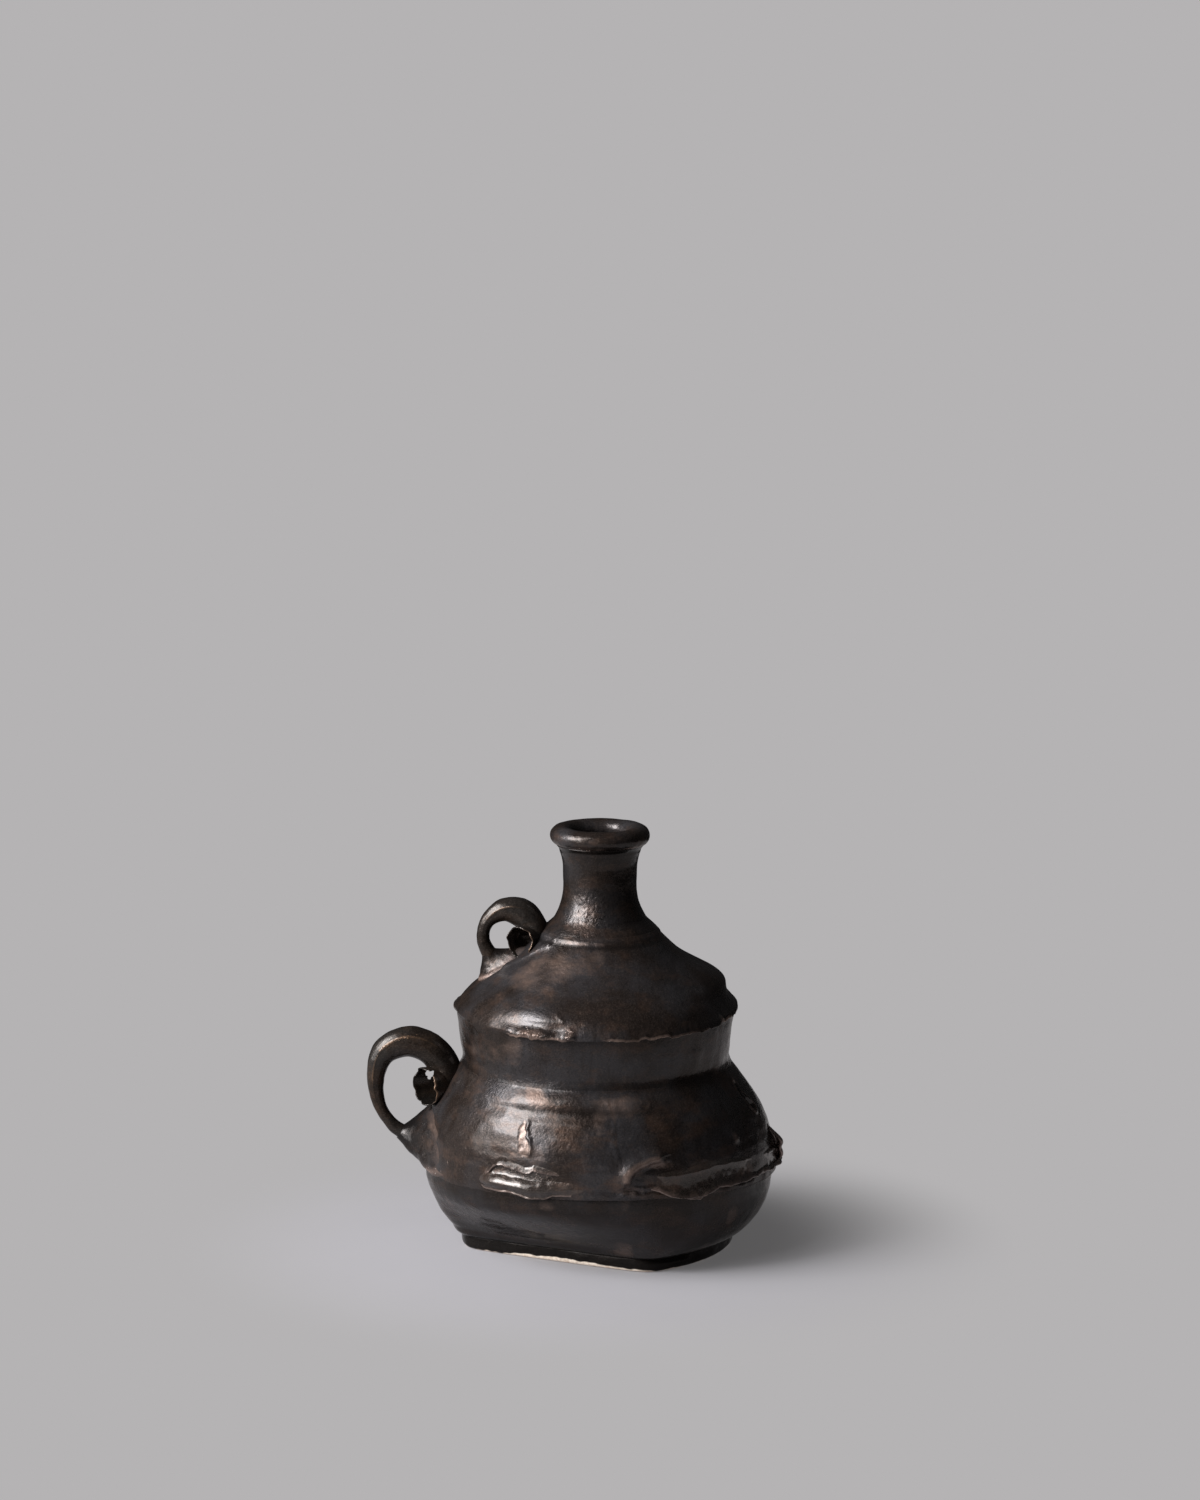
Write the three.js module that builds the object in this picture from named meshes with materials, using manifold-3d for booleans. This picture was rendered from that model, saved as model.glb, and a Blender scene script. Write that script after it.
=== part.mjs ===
// Gourd-shaped bottle vase in dark glazed stoneware, hand built from thrown and pinched sections.
// The sections are luted one on another with slip, and two hollow clay horns are curled into handles.
// Millimetres, +Z up. The origin is the centre of the foot's flat underside, below the neck's axis.
// -Y is the front, +X is to the right seen from the front, and both handles are on -X.
import * as THREE from 'three';
import { mergeVertices } from 'three/addons/utils/BufferGeometryUtils.js';
import Module from 'manifold-3d';

const wasm = await Module();
wasm.setup();

// Heights of the stacked sections from the foot up, and the slip joint left between any two pieces
const FOOT_THICKNESS = 5;
const BOWL_HEIGHT = 21.7;
const SHOULDER_HEIGHT = 38.2;
const BAND_HEIGHT = 17.4;
const DOME_HEIGHT = 30;
const NECK_FLARE_HEIGHT = 15.2;
const NECK_STRAIGHT = 5;
const LIP_FLARE_HEIGHT = 8.9;
const LIP_HEIGHT = 6.8;
const LUTE_GAP = 0.3;

// Outer radii where the sections begin and end, and the thickness of their walls
const FOOT_RADIUS = 50;
const FOOT_EDGE_ROUND = 1.6;
const FOOT_LEDGE = 1.5;
const BOWL_FOOT_RADIUS = FOOT_RADIUS - FOOT_LEDGE;
const BOWL_RIM_RADIUS = 61;
const SHOULDER_OVERHANG = 1;
const SHOULDER_RIM_RADIUS = BOWL_RIM_RADIUS + SHOULDER_OVERHANG;
const WAIST_RADIUS = 46.2;
const BAND_TOP_RADIUS = 48.7;
const DOME_OVERHANG = 1.6;
const DOME_RIM_RADIUS = BAND_TOP_RADIUS + DOME_OVERHANG;
const NECK_FOOT_RADIUS = 18.6;
const NECK_STEP = 1.9;
const DOME_TOP_RADIUS = NECK_FOOT_RADIUS + NECK_STEP;
const NECK_RADIUS = 13;
const NECK_TOP_RADIUS = 15.5;
const LIP_OVERHANG = 1.9;
const LIP_RADIUS = NECK_TOP_RADIUS + LIP_OVERHANG;
const MOUTH_RADIUS = 9.4;
const BODY_WALL = 4.5;
const NECK_WALL = 3.6;

// How far each outline runs on, out and up, before it turns towards its other end
const BOWL_FOOT_SWEEP = [7.5, 3.2];
const BOWL_RIM_SWEEP = [0, 9];
const SHOULDER_RIM_SWEEP = [0, 16.7];
const SHOULDER_WAIST_SWEEP = [-9.8, 9.5];
const BAND_FOOT_SWEEP = [1.4, 5.2];
const BAND_TOP_SWEEP = [0.4, 6.2];
const DOME_RIM_SWEEP = [-1.3, 9.5];
const DOME_TOP_SWEEP = [-6.5, 10.5];
const NECK_FOOT_SWEEP = [-3.3, 4.7];
const NECK_WAIST_SWEEP = [0, 6.5];
const LIP_FLARE_START_SWEEP = [0, 4];
const LIP_FLARE_END_SWEEP = [1.5, 2.1];

// The lower lobe is a little shallower than it is wide, and the upper lobe stands a little to the left
const LOBE_SQUEEZE = 0.05;
const LOBE_SHIFT = -1.1;

// The lower seam rises a little towards the front
const SEAM_RISE = 2.5;
const SEAM_RISE_HALF_HEIGHT = 24;

// One side of the foot is cut straight, at the front left, and the bowl swells out above the cut
const FLAT_ANGLE = -27;
const FLAT_DISTANCE = 34.5;
const FLAT_CORNER_ROUND = 2.2;
const FLAT_FADE_HEIGHT = 19;

// A soft hump pushed out of the dome's right side
const HUMP_ANGLE = 92;
const HUMP_HALF_ANGLE = 48;
const HUMP_ABOVE_RIM = 14;
const HUMP_HALF_HEIGHT = 8;
const HUMP_PROUD = 4;

// Large horn: its strap goes out and up from the shoulder's wall, and its curl hangs by the waist crease
// Each point is out from the wall, up from the place it hangs by, and forward of the side
const LARGE_ROOT_ABOVE_SEAM = 5.7;
const LARGE_STRAP_PATH = [
  [-7.8, 0, 0],
  [11.7, 8.6, 0],
  [17.9, 22.5, 0],
];
const LARGE_CURL_PATH = [
  [29.6, 2.3, 0],
  [20.2, 6.6, 0],
  [10.2, 2.4, 0],
  [6.9, -5, 0],
  [9.5, -9.8, 1],
  [15, -10.2, 4.5],
];
const LARGE_STRAP_RADIUS = 2.3;
const LARGE_HORN_RADIUS = 5.5;
const LARGE_MOUTH_RADIUS = 6.9;
const LARGE_HORN_WALL = 1.7;
const LARGE_BORE_DEPTH = 13;
const LARGE_ROOT_WAD = [4.2, 10.5, 10];
const LARGE_ROOT_WAD_DROP = 4.5;
const LARGE_BRIDGE_WAD = [5.5, 5.5, 4.6];
const LARGE_BRIDGE_PLACE = [2.6, -1.4];

// Small horn: its strap goes out and up from the dome's wall, and its curl hangs by the neck's foot
const SMALL_ROOT_ABOVE_RIM = 14;
const SMALL_STRAP_PATH = [
  [-4.7, 0, 0],
  [0.9, 5.3, 0],
  [2.6, 11.5, 0],
];
const SMALL_CURL_PATH = [
  [21, 2.3, 0],
  [15, 6.1, 0],
  [8, 4.4, 0],
  [5, -0.9, 0],
  [6.2, -4.9, 0.8],
  [10.1, -5.5, 3.2],
];
const SMALL_STRAP_RADIUS = 2.1;
const SMALL_HORN_RADIUS = 4.3;
const SMALL_MOUTH_RADIUS = 4.6;
const SMALL_HORN_WALL = 1.3;
const SMALL_BORE_DEPTH = 8;
const SMALL_ROOT_WAD = [3, 6, 6];
const SMALL_ROOT_WAD_DROP = 1;
const SMALL_BRIDGE_WAD = [5, 4.2, 3.6];
const SMALL_BRIDGE_PLACE = [1.6, 0.6];

// Strips of clay pressed over the lower seam at the front, by the angles and heights they run between
const LEFT_STRIP_FROM_ANGLE = -45;
const LEFT_STRIP_TO_ANGLE = -11;
const LEFT_STRIP_FROM_ABOVE_SEAM = 4.6;
const LEFT_STRIP_TO_ABOVE_SEAM = 2.6;
const LEFT_STRIP_HALF_HEIGHT = 5.4;
const LEFT_STRIP_PROUD = 3.2;
const RIGHT_STRIP_FROM_ANGLE = 9;
const RIGHT_STRIP_TO_ANGLE = 72;
const RIGHT_STRIP_FROM_ABOVE_SEAM = 3.4;
const RIGHT_STRIP_TO_ABOVE_SEAM = 3.6;
const RIGHT_STRIP_HALF_HEIGHT = 5;
const RIGHT_STRIP_PROUD = 2.8;

// Curled lug that ends the right strip, with the hollow under its curl
const LUG_ANGLE = 90;
const LUG_ABOVE_SEAM = 8;
const LUG_SIZE = [4.4, 6.5, 7.2];
const LUG_HOLLOW_RADIUS = 1.7;
const LUG_HOLLOW_ABOVE = 3;

// Facets round the vase, along its outlines, and round and along the horns and strips
const ROUND_STEPS = 48;
const NECK_ROUND_STEPS = 36;
const BOWL_STEPS = 6;
const SHOULDER_STEPS = 8;
const BAND_STEPS = 3;
const DOME_STEPS = 9;
const NECK_STEPS = 10;
const LIP_STEPS = 11;
const HORN_SIDES = 12;
const HORN_STEPS = 34;
const BORE_STEPS = 8;
const STRIP_SIDES = 10;
const STRIP_STEPS = 14;
const WAD_SIDES = 14;
const WAD_RINGS = 10;

// Steepest slant for which a wall is thickened to keep its true thickness
const MOST_SLANT = 1.9;

// Heights where the sections meet
const BOWL_BOTTOM = FOOT_THICKNESS + LUTE_GAP;
const BOWL_TOP = BOWL_BOTTOM + BOWL_HEIGHT;
const SHOULDER_BOTTOM = BOWL_TOP + LUTE_GAP;
const SHOULDER_TOP = SHOULDER_BOTTOM + SHOULDER_HEIGHT;
const BAND_BOTTOM = SHOULDER_TOP + LUTE_GAP;
const BAND_TOP = BAND_BOTTOM + BAND_HEIGHT;
const DOME_BOTTOM = BAND_TOP + LUTE_GAP;
const DOME_TOP = DOME_BOTTOM + DOME_HEIGHT;
const NECK_BOTTOM = DOME_TOP + LUTE_GAP;
const NECK_WAIST = NECK_BOTTOM + NECK_FLARE_HEIGHT;
const LIP_FLARE = NECK_WAIST + NECK_STRAIGHT;
const NECK_TOP = LIP_FLARE + LIP_FLARE_HEIGHT;
const LIP_BOTTOM = NECK_TOP + LUTE_GAP;

const vase = new THREE.Group();

function glaze(color, roughness) {
  return new THREE.MeshStandardMaterial({ color, roughness, metalness: 0.35 });
}

function addPiece(name, geometry, material) {
  const mesh = new THREE.Mesh(geometry, material);
  mesh.name = name;
  vase.add(mesh);
}

// Joins the doubled points of a geometry, so that its skin is closed
function weld(geometry) {
  geometry.deleteAttribute('normal');
  geometry.deleteAttribute('uv');
  return mergeVertices(geometry, 1e-4);
}

function toSolid(geometry) {
  const vertProperties = Float32Array.from(geometry.attributes.position.array);
  const triVerts = Uint32Array.from(geometry.index.array);
  return new wasm.Manifold(new wasm.Mesh({ numProp: 3, vertProperties, triVerts }));
}

function toGeometry(solid) {
  const mesh = solid.getMesh();
  const geometry = new THREE.BufferGeometry();
  geometry.setAttribute('position', new THREE.BufferAttribute(Float32Array.from(mesh.vertProperties), 3));
  geometry.setIndex(new THREE.BufferAttribute(Uint32Array.from(mesh.triVerts), 1));
  return geometry;
}

function moveVertices(geometry, place) {
  const position = geometry.attributes.position;
  const point = new THREE.Vector3();
  for (let i = 0; i < position.count; i += 1) {
    point.fromBufferAttribute(position, i);
    const moved = place(point);
    position.setXYZ(i, moved.x, moved.y, moved.z);
  }
  return geometry;
}

// Altering of the thrown rounds: what the hands did to a wall at an angle and a height

// One at the middle of a stretch, falling smoothly to nothing at its half width
function swell(value, middle, half) {
  const away = Math.abs(value - middle) / half;
  return away >= 1 ? 0 : (1 - away * away) ** 2;
}

// Smaller of two lengths, with the corner between them rounded
function roundedMin(a, b, round) {
  return -round * Math.log(Math.exp(-a / round) + Math.exp(-b / round));
}

function flatSide(theta, z) {
  const towards = Math.cos(theta - THREE.MathUtils.degToRad(FLAT_ANGLE));
  if (towards <= 0) {
    return 1;
  }
  const cut = roundedMin(FOOT_RADIUS, FLAT_DISTANCE / towards, FLAT_CORNER_ROUND) / FOOT_RADIUS;
  const fade = 1 - THREE.MathUtils.smoothstep(z, FOOT_THICKNESS, FOOT_THICKNESS + FLAT_FADE_HEIGHT);
  return 1 + (cut - 1) * fade;
}

function hump(theta, z) {
  const round = swell(THREE.MathUtils.radToDeg(theta), HUMP_ANGLE, HUMP_HALF_ANGLE);
  const high = swell(z, DOME_BOTTOM + HUMP_ABOVE_RIM, HUMP_HALF_HEIGHT);
  return 1 + (HUMP_PROUD * 2 * round * high) / (DOME_RIM_RADIUS + DOME_TOP_RADIUS);
}

function lobeShift(z) {
  const rise = THREE.MathUtils.smoothstep(z, SHOULDER_BOTTOM, SHOULDER_TOP);
  const fall = THREE.MathUtils.smoothstep(z, DOME_BOTTOM, DOME_TOP);
  return LOBE_SHIFT * rise * (1 - fall);
}

function lobeDepth(z) {
  const rise = THREE.MathUtils.smoothstep(z, FOOT_THICKNESS, BOWL_TOP);
  const fall = THREE.MathUtils.smoothstep(z, BOWL_TOP, SHOULDER_TOP);
  return 1 - LOBE_SQUEEZE * rise * (1 - fall);
}

// Where a point of the thrown round ends up; theta is 0 at the front and grows to the right
function formed(radius, theta, z) {
  const altered = radius * flatSide(theta, z) * hump(theta, z);
  const across = altered * Math.sin(theta) + lobeShift(z);
  const nearSeam = swell(z, SHOULDER_BOTTOM, SEAM_RISE_HALF_HEIGHT);
  const rise = SEAM_RISE * Math.max(Math.cos(theta), 0) ** 2 * nearSeam;
  return new THREE.Vector3(across, -altered * Math.cos(theta) * lobeDepth(z), z + rise);
}

function revolve(outline, steps) {
  const geometry = new THREE.LatheGeometry(outline, steps);
  geometry.rotateX(Math.PI / 2);
  return moveVertices(weld(geometry), (p) => formed(Math.hypot(p.x, p.y), Math.atan2(p.x, -p.y), p.z));
}

// Outlines of the sections, as curves of radius and height

function outlineCurve(startRadius, startHeight, startSweep, endSweep, endRadius, endHeight) {
  return new THREE.CubicBezierCurve(
    new THREE.Vector2(startRadius, startHeight),
    new THREE.Vector2(startRadius + startSweep[0], startHeight + startSweep[1]),
    new THREE.Vector2(endRadius - endSweep[0], endHeight - endSweep[1]),
    new THREE.Vector2(endRadius, endHeight),
  );
}

function neckCurve() {
  const waist = new THREE.Vector2(NECK_RADIUS, NECK_WAIST);
  const flare = new THREE.Vector2(NECK_RADIUS, LIP_FLARE);
  const path = new THREE.CurvePath();
  path.add(outlineCurve(NECK_FOOT_RADIUS, NECK_BOTTOM, NECK_FOOT_SWEEP, NECK_WAIST_SWEEP, waist.x, waist.y));
  path.add(new THREE.LineCurve(waist, flare));
  path.add(
    outlineCurve(flare.x, flare.y, LIP_FLARE_START_SWEEP, LIP_FLARE_END_SWEEP, NECK_TOP_RADIUS, NECK_TOP),
  );
  return path;
}

// Outer points of a section from its foot up, and the closed outline of its wall
function section(curve, steps, wall) {
  const outer = [];
  const inner = [];
  for (let i = 0; i <= steps; i += 1) {
    const point = curve.getPoint(i / steps);
    const climb = curve.getTangent(i / steps).y;
    const slant = climb * MOST_SLANT > 1 ? 1 / climb : MOST_SLANT;
    outer.push(point);
    inner.unshift(new THREE.Vector2(point.x - wall * slant, point.y));
  }
  return { outer, wall: [...outer, ...inner, outer[0].clone()] };
}

const bowl = section(
  outlineCurve(BOWL_FOOT_RADIUS, BOWL_BOTTOM, BOWL_FOOT_SWEEP, BOWL_RIM_SWEEP, BOWL_RIM_RADIUS, BOWL_TOP),
  BOWL_STEPS,
  BODY_WALL,
);
const shoulder = section(
  outlineCurve(
    SHOULDER_RIM_RADIUS,
    SHOULDER_BOTTOM,
    SHOULDER_RIM_SWEEP,
    SHOULDER_WAIST_SWEEP,
    WAIST_RADIUS,
    SHOULDER_TOP,
  ),
  SHOULDER_STEPS,
  BODY_WALL,
);
const band = section(
  outlineCurve(WAIST_RADIUS, BAND_BOTTOM, BAND_FOOT_SWEEP, BAND_TOP_SWEEP, BAND_TOP_RADIUS, BAND_TOP),
  BAND_STEPS,
  BODY_WALL,
);
const dome = section(
  outlineCurve(DOME_RIM_RADIUS, DOME_BOTTOM, DOME_RIM_SWEEP, DOME_TOP_SWEEP, DOME_TOP_RADIUS, DOME_TOP),
  DOME_STEPS,
  BODY_WALL,
);
const neck = section(neckCurve(), NECK_STEPS, NECK_WALL);

// Flat slab of the foot, with its upper edge rounded off
function footOutline() {
  const edge = new THREE.Vector2(FOOT_RADIUS, FOOT_THICKNESS - FOOT_EDGE_ROUND);
  return [
    new THREE.Vector2(0, 0),
    new THREE.Vector2(FOOT_RADIUS - FOOT_EDGE_ROUND / 2, 0),
    new THREE.Vector2(FOOT_RADIUS, FOOT_EDGE_ROUND / 2),
    edge,
    new THREE.Vector2(edge.x - FOOT_EDGE_ROUND * (1 - Math.SQRT1_2), edge.y + FOOT_EDGE_ROUND * Math.SQRT1_2),
    new THREE.Vector2(edge.x - FOOT_EDGE_ROUND, FOOT_THICKNESS),
    new THREE.Vector2(0, FOOT_THICKNESS),
  ];
}

// Fat roll of clay round the mouth, flat underneath where it sits on the neck
function lipOutline() {
  const middle = (LIP_RADIUS + MOUTH_RADIUS) / 2;
  const halfWidth = (LIP_RADIUS - MOUTH_RADIUS) / 2;
  const seatHalf = (NECK_TOP_RADIUS - NECK_RADIUS + NECK_WALL) / 4;
  const seatAngle = Math.asin(seatHalf / halfWidth);
  const halfHeight = LIP_HEIGHT / (1 + Math.cos(seatAngle));
  const outline = [];
  for (let i = 0; i <= LIP_STEPS; i += 1) {
    const turn = seatAngle + ((2 * Math.PI - 2 * seatAngle) * i) / LIP_STEPS;
    const height = LIP_BOTTOM + LIP_HEIGHT - halfHeight * (1 + Math.cos(turn));
    outline.push(new THREE.Vector2(middle + halfWidth * Math.sin(turn), height));
  }
  outline.push(outline[0].clone());
  return outline;
}

// The whole outside of the stack, stood off by the slip joint: what is luted on is cut to seat against it
function stackEnvelope() {
  const outer = [bowl, shoulder, band, dome, neck].flatMap((part) => part.outer);
  const skin = outer.map((p) => new THREE.Vector2(p.x + LUTE_GAP, p.y));
  const floor = new THREE.Vector2(0, skin[0].y);
  const top = new THREE.Vector2(0, skin[skin.length - 1].y);
  return toSolid(revolve([floor, ...skin, top], ROUND_STEPS));
}

const envelope = stackEnvelope();

// Outer radius of the thrown stack at a height
function stackRadius(z) {
  const outer = [bowl, shoulder, band, dome, neck].flatMap((part) => part.outer);
  const above = outer.findIndex((p) => p.y >= z);
  if (above <= 0) {
    return outer[0].x;
  }
  const low = outer[above - 1];
  const high = outer[above];
  return THREE.MathUtils.mapLinear(z, low.y, high.y, low.x, high.x);
}

// A place on the outside of the wall, and the angle of the side that the handles are on
function onWall(theta, z) {
  return formed(stackRadius(z), theta, z);
}

const LEFT = -Math.PI / 2;

// Curled horns, strips and wads

// A round bar bent along a curve: frame gives the bar's centre, its direction and its side at 0 to 1
function bentBar(frame, sides, steps) {
  const bar = weld(new THREE.CylinderGeometry(1, 1, 1, sides, steps));
  return moveVertices(bar, (p) => {
    const { centre, along, side, wide, deep } = frame(p.y + 0.5);
    const across = side.clone().addScaledVector(along, -side.dot(along)).normalize();
    const third = along.clone().cross(across);
    return centre.clone().addScaledVector(third, p.x * deep).addScaledVector(across, p.z * wide);
  });
}

function fromAnchor(anchor, path) {
  return path.map(([out, up, forward]) => new THREE.Vector3(anchor.x - out, -forward, anchor.z + up));
}

function hornCurve(strapAnchor, strapPath, curlAnchor, curlPath) {
  const points = [...fromAnchor(strapAnchor, strapPath), ...fromAnchor(curlAnchor, curlPath)];
  return new THREE.CatmullRomCurve3(points, false, 'centripetal');
}

// A horn along its curve, thin in the strap and fat past the top of the loop, out to its open mouth
function hornRadius(t, strap, horn, mouth) {
  const fatten = THREE.MathUtils.smoothstep(t, 0.34, 0.74);
  const flare = THREE.MathUtils.smoothstep(t, 0.8, 1);
  return strap + (horn - strap) * fatten + (mouth - horn) * flare;
}

function hornBar(curve, radiusAt, from, to, steps) {
  const side = new THREE.Vector3(0, -1, 0);
  const frame = (t) => {
    const along = from + (to - from) * t;
    const inside = Math.min(along, 1);
    const tangent = curve.getTangentAt(inside);
    const past = (along - inside) * curve.getLength();
    const centre = curve.getPointAt(inside).addScaledVector(tangent, past);
    const radius = radiusAt(inside);
    return { centre, along: tangent, side, wide: radius, deep: radius };
  };
  return toSolid(bentBar(frame, HORN_SIDES, steps));
}

function horn(curve, sizes, grown) {
  const radiusAt = (t) => hornRadius(t, sizes.strap, sizes.horn, sizes.mouth) + grown;
  return hornBar(curve, radiusAt, 0, 1, HORN_STEPS);
}

function hollowHorn(curve, sizes) {
  const length = curve.getLength();
  const radiusAt = (t) => hornRadius(t, sizes.strap, sizes.horn, sizes.mouth) - sizes.wall;
  const bore = hornBar(curve, radiusAt, 1 - sizes.bore / length, 1 + sizes.wall / length, BORE_STEPS);
  return horn(curve, sizes, 0).subtract(bore).subtract(envelope);
}

// Height at which a horn's thin end runs into the wall
function rootHeight(curve) {
  const steps = HORN_STEPS * 4;
  for (let i = 0; i < steps; i += 1) {
    const point = curve.getPointAt(i / steps);
    if (point.x < onWall(LEFT, point.z).x) {
      return point.z;
    }
  }
  return curve.getPointAt(0).z;
}

// An egg-shaped lump of clay, [out from the wall, round the wall, up the wall] in half sizes
function wad(centre, theta, size) {
  const lump = weld(new THREE.SphereGeometry(1, WAD_SIDES, WAD_RINGS));
  lump.scale(size[1], size[0], size[2]);
  lump.rotateZ(theta);
  lump.translate(centre.x, centre.y, centre.z);
  return toSolid(lump);
}

// A horn with the wad that holds its root and the wad between its curl and the wall
function luteHandle(name, curve, sizes, rootSize, rootDrop, bridgeSize, bridgePlace) {
  const grownHorn = horn(curve, sizes, LUTE_GAP);
  addPiece(name, toGeometry(hollowHorn(curve, sizes)), handleGlaze);
  const rootPlace = onWall(LEFT, rootHeight(curve) - rootDrop);
  const root = wad(rootPlace, LEFT, rootSize).subtract(envelope).subtract(grownHorn);
  addPiece(`${name}_root_wad`, toGeometry(root), seamGlaze);
  const bridge = wad(bridgePlace, LEFT, bridgeSize).subtract(envelope).subtract(grownHorn);
  addPiece(`${name}_bridge_wad`, toGeometry(bridge), seamGlaze);
}

function seamStrip(strip) {
  const theta = (t) => THREE.MathUtils.degToRad(THREE.MathUtils.lerp(strip.from, strip.to, t));
  const height = (t) => SHOULDER_BOTTOM + THREE.MathUtils.lerp(strip.fromAboveSeam, strip.toAboveSeam, t);
  const place = (t) => onWall(theta(t), height(t));
  const frame = (t) => {
    const along = place(Math.min(t + 0.01, 1)).sub(place(Math.max(t - 0.01, 0))).normalize();
    const side = new THREE.Vector3(Math.sin(theta(t)), -Math.cos(theta(t)), 0);
    const taper = 0.3 + 0.7 * Math.sin(Math.PI * t) ** 0.5;
    return { centre: place(t), along, side, wide: strip.proud * taper, deep: strip.halfHeight * taper };
  };
  return toSolid(bentBar(frame, STRIP_SIDES, STRIP_STEPS)).subtract(envelope);
}

function curledLug() {
  const theta = THREE.MathUtils.degToRad(LUG_ANGLE);
  const middle = SHOULDER_BOTTOM + LUG_ABOVE_SEAM;
  const lump = wad(onWall(theta, middle), theta, LUG_SIZE).subtract(envelope);
  const radius = LUG_HOLLOW_RADIUS;
  const hollow = weld(new THREE.CylinderGeometry(radius, radius, 2 * LUG_SIZE[1], WAD_SIDES));
  const place = onWall(theta, middle + LUG_HOLLOW_ABOVE);
  hollow.translate(place.x + LUG_SIZE[0] / 2, place.y - LUG_SIZE[1], place.z);
  return lump.subtract(toSolid(hollow));
}

const bodyGlaze = glaze(0x2f2926, 0.34);
const neckGlaze = glaze(0x352c28, 0.36);
const handleGlaze = glaze(0x3a2f28, 0.3);
const seamGlaze = glaze(0x40342e, 0.32);
const footClay = new THREE.MeshStandardMaterial({ color: 0x4a423c, roughness: 0.7, metalness: 0 });

addPiece('foot_slab', revolve(footOutline(), ROUND_STEPS), footClay);
addPiece('lower_bowl', revolve(bowl.wall, ROUND_STEPS), bodyGlaze);
addPiece('lower_shoulder', revolve(shoulder.wall, ROUND_STEPS), bodyGlaze);
addPiece('waist_band', revolve(band.wall, ROUND_STEPS), bodyGlaze);
addPiece('upper_dome', revolve(dome.wall, ROUND_STEPS), bodyGlaze);
addPiece('neck_tube', revolve(neck.wall, NECK_ROUND_STEPS), neckGlaze);
addPiece('lip_roll', revolve(lipOutline(), NECK_ROUND_STEPS), neckGlaze);

const leftStrip = seamStrip({
  from: LEFT_STRIP_FROM_ANGLE,
  to: LEFT_STRIP_TO_ANGLE,
  fromAboveSeam: LEFT_STRIP_FROM_ABOVE_SEAM,
  toAboveSeam: LEFT_STRIP_TO_ABOVE_SEAM,
  halfHeight: LEFT_STRIP_HALF_HEIGHT,
  proud: LEFT_STRIP_PROUD,
});
const rightStrip = seamStrip({
  from: RIGHT_STRIP_FROM_ANGLE,
  to: RIGHT_STRIP_TO_ANGLE,
  fromAboveSeam: RIGHT_STRIP_FROM_ABOVE_SEAM,
  toAboveSeam: RIGHT_STRIP_TO_ABOVE_SEAM,
  halfHeight: RIGHT_STRIP_HALF_HEIGHT,
  proud: RIGHT_STRIP_PROUD,
});
addPiece('seam_strip_left', toGeometry(leftStrip), seamGlaze);
addPiece('seam_strip_right', toGeometry(rightStrip), seamGlaze);
addPiece('lower_right_lug', toGeometry(curledLug()), seamGlaze);

const largeRoot = onWall(LEFT, SHOULDER_BOTTOM + LARGE_ROOT_ABOVE_SEAM);
const largeWaist = onWall(LEFT, BAND_BOTTOM);
luteHandle(
  'large_handle',
  hornCurve(largeRoot, LARGE_STRAP_PATH, largeWaist, LARGE_CURL_PATH),
  {
    strap: LARGE_STRAP_RADIUS,
    horn: LARGE_HORN_RADIUS,
    mouth: LARGE_MOUTH_RADIUS,
    wall: LARGE_HORN_WALL,
    bore: LARGE_BORE_DEPTH,
  },
  LARGE_ROOT_WAD,
  LARGE_ROOT_WAD_DROP,
  LARGE_BRIDGE_WAD,
  new THREE.Vector3(largeWaist.x - LARGE_BRIDGE_PLACE[0], 0, largeWaist.z + LARGE_BRIDGE_PLACE[1]),
);

const smallRoot = onWall(LEFT, DOME_BOTTOM + SMALL_ROOT_ABOVE_RIM);
const smallNeck = formed(NECK_FOOT_RADIUS, LEFT, DOME_TOP);
luteHandle(
  'small_handle',
  hornCurve(smallRoot, SMALL_STRAP_PATH, smallNeck, SMALL_CURL_PATH),
  {
    strap: SMALL_STRAP_RADIUS,
    horn: SMALL_HORN_RADIUS,
    mouth: SMALL_MOUTH_RADIUS,
    wall: SMALL_HORN_WALL,
    bore: SMALL_BORE_DEPTH,
  },
  SMALL_ROOT_WAD,
  SMALL_ROOT_WAD_DROP,
  SMALL_BRIDGE_WAD,
  new THREE.Vector3(smallNeck.x - SMALL_BRIDGE_PLACE[0], 0, smallNeck.z + SMALL_BRIDGE_PLACE[1]),
);

export default vase;
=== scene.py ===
# Gourd vase in dark glazed stoneware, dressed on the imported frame. Sizes are in millimetres.
import math
import bpy
import numpy as np
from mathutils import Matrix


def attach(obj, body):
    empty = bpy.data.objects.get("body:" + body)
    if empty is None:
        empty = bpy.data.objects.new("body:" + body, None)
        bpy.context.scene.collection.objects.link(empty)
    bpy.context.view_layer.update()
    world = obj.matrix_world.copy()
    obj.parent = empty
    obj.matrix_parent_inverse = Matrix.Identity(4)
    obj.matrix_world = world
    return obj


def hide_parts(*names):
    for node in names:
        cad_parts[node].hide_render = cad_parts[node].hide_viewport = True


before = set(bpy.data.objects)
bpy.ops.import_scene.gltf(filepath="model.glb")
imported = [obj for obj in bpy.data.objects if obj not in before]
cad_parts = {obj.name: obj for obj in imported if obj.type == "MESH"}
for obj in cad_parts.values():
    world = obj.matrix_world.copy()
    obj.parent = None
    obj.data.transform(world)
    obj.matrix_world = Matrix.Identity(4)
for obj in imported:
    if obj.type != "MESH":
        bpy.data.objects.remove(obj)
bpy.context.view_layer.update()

# Foot slab
# A disc cut from a rolled slab of stoneware, one side cut straight at the front left.
# It was dipped with the pot and its edge wiped back to bare cream clay where it meets the kiln shelf.
MM = 0.001
FOOT_RADIUS = 50
FOOT_THICKNESS = 5
FLAT_ANGLE = -27
FLAT_DISTANCE = 34.5
FLAT_CORNER = 2.2
FLAT_FADE = 19
FOOT_ROWS = 90
CLAY_GRIT = 1.2
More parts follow.
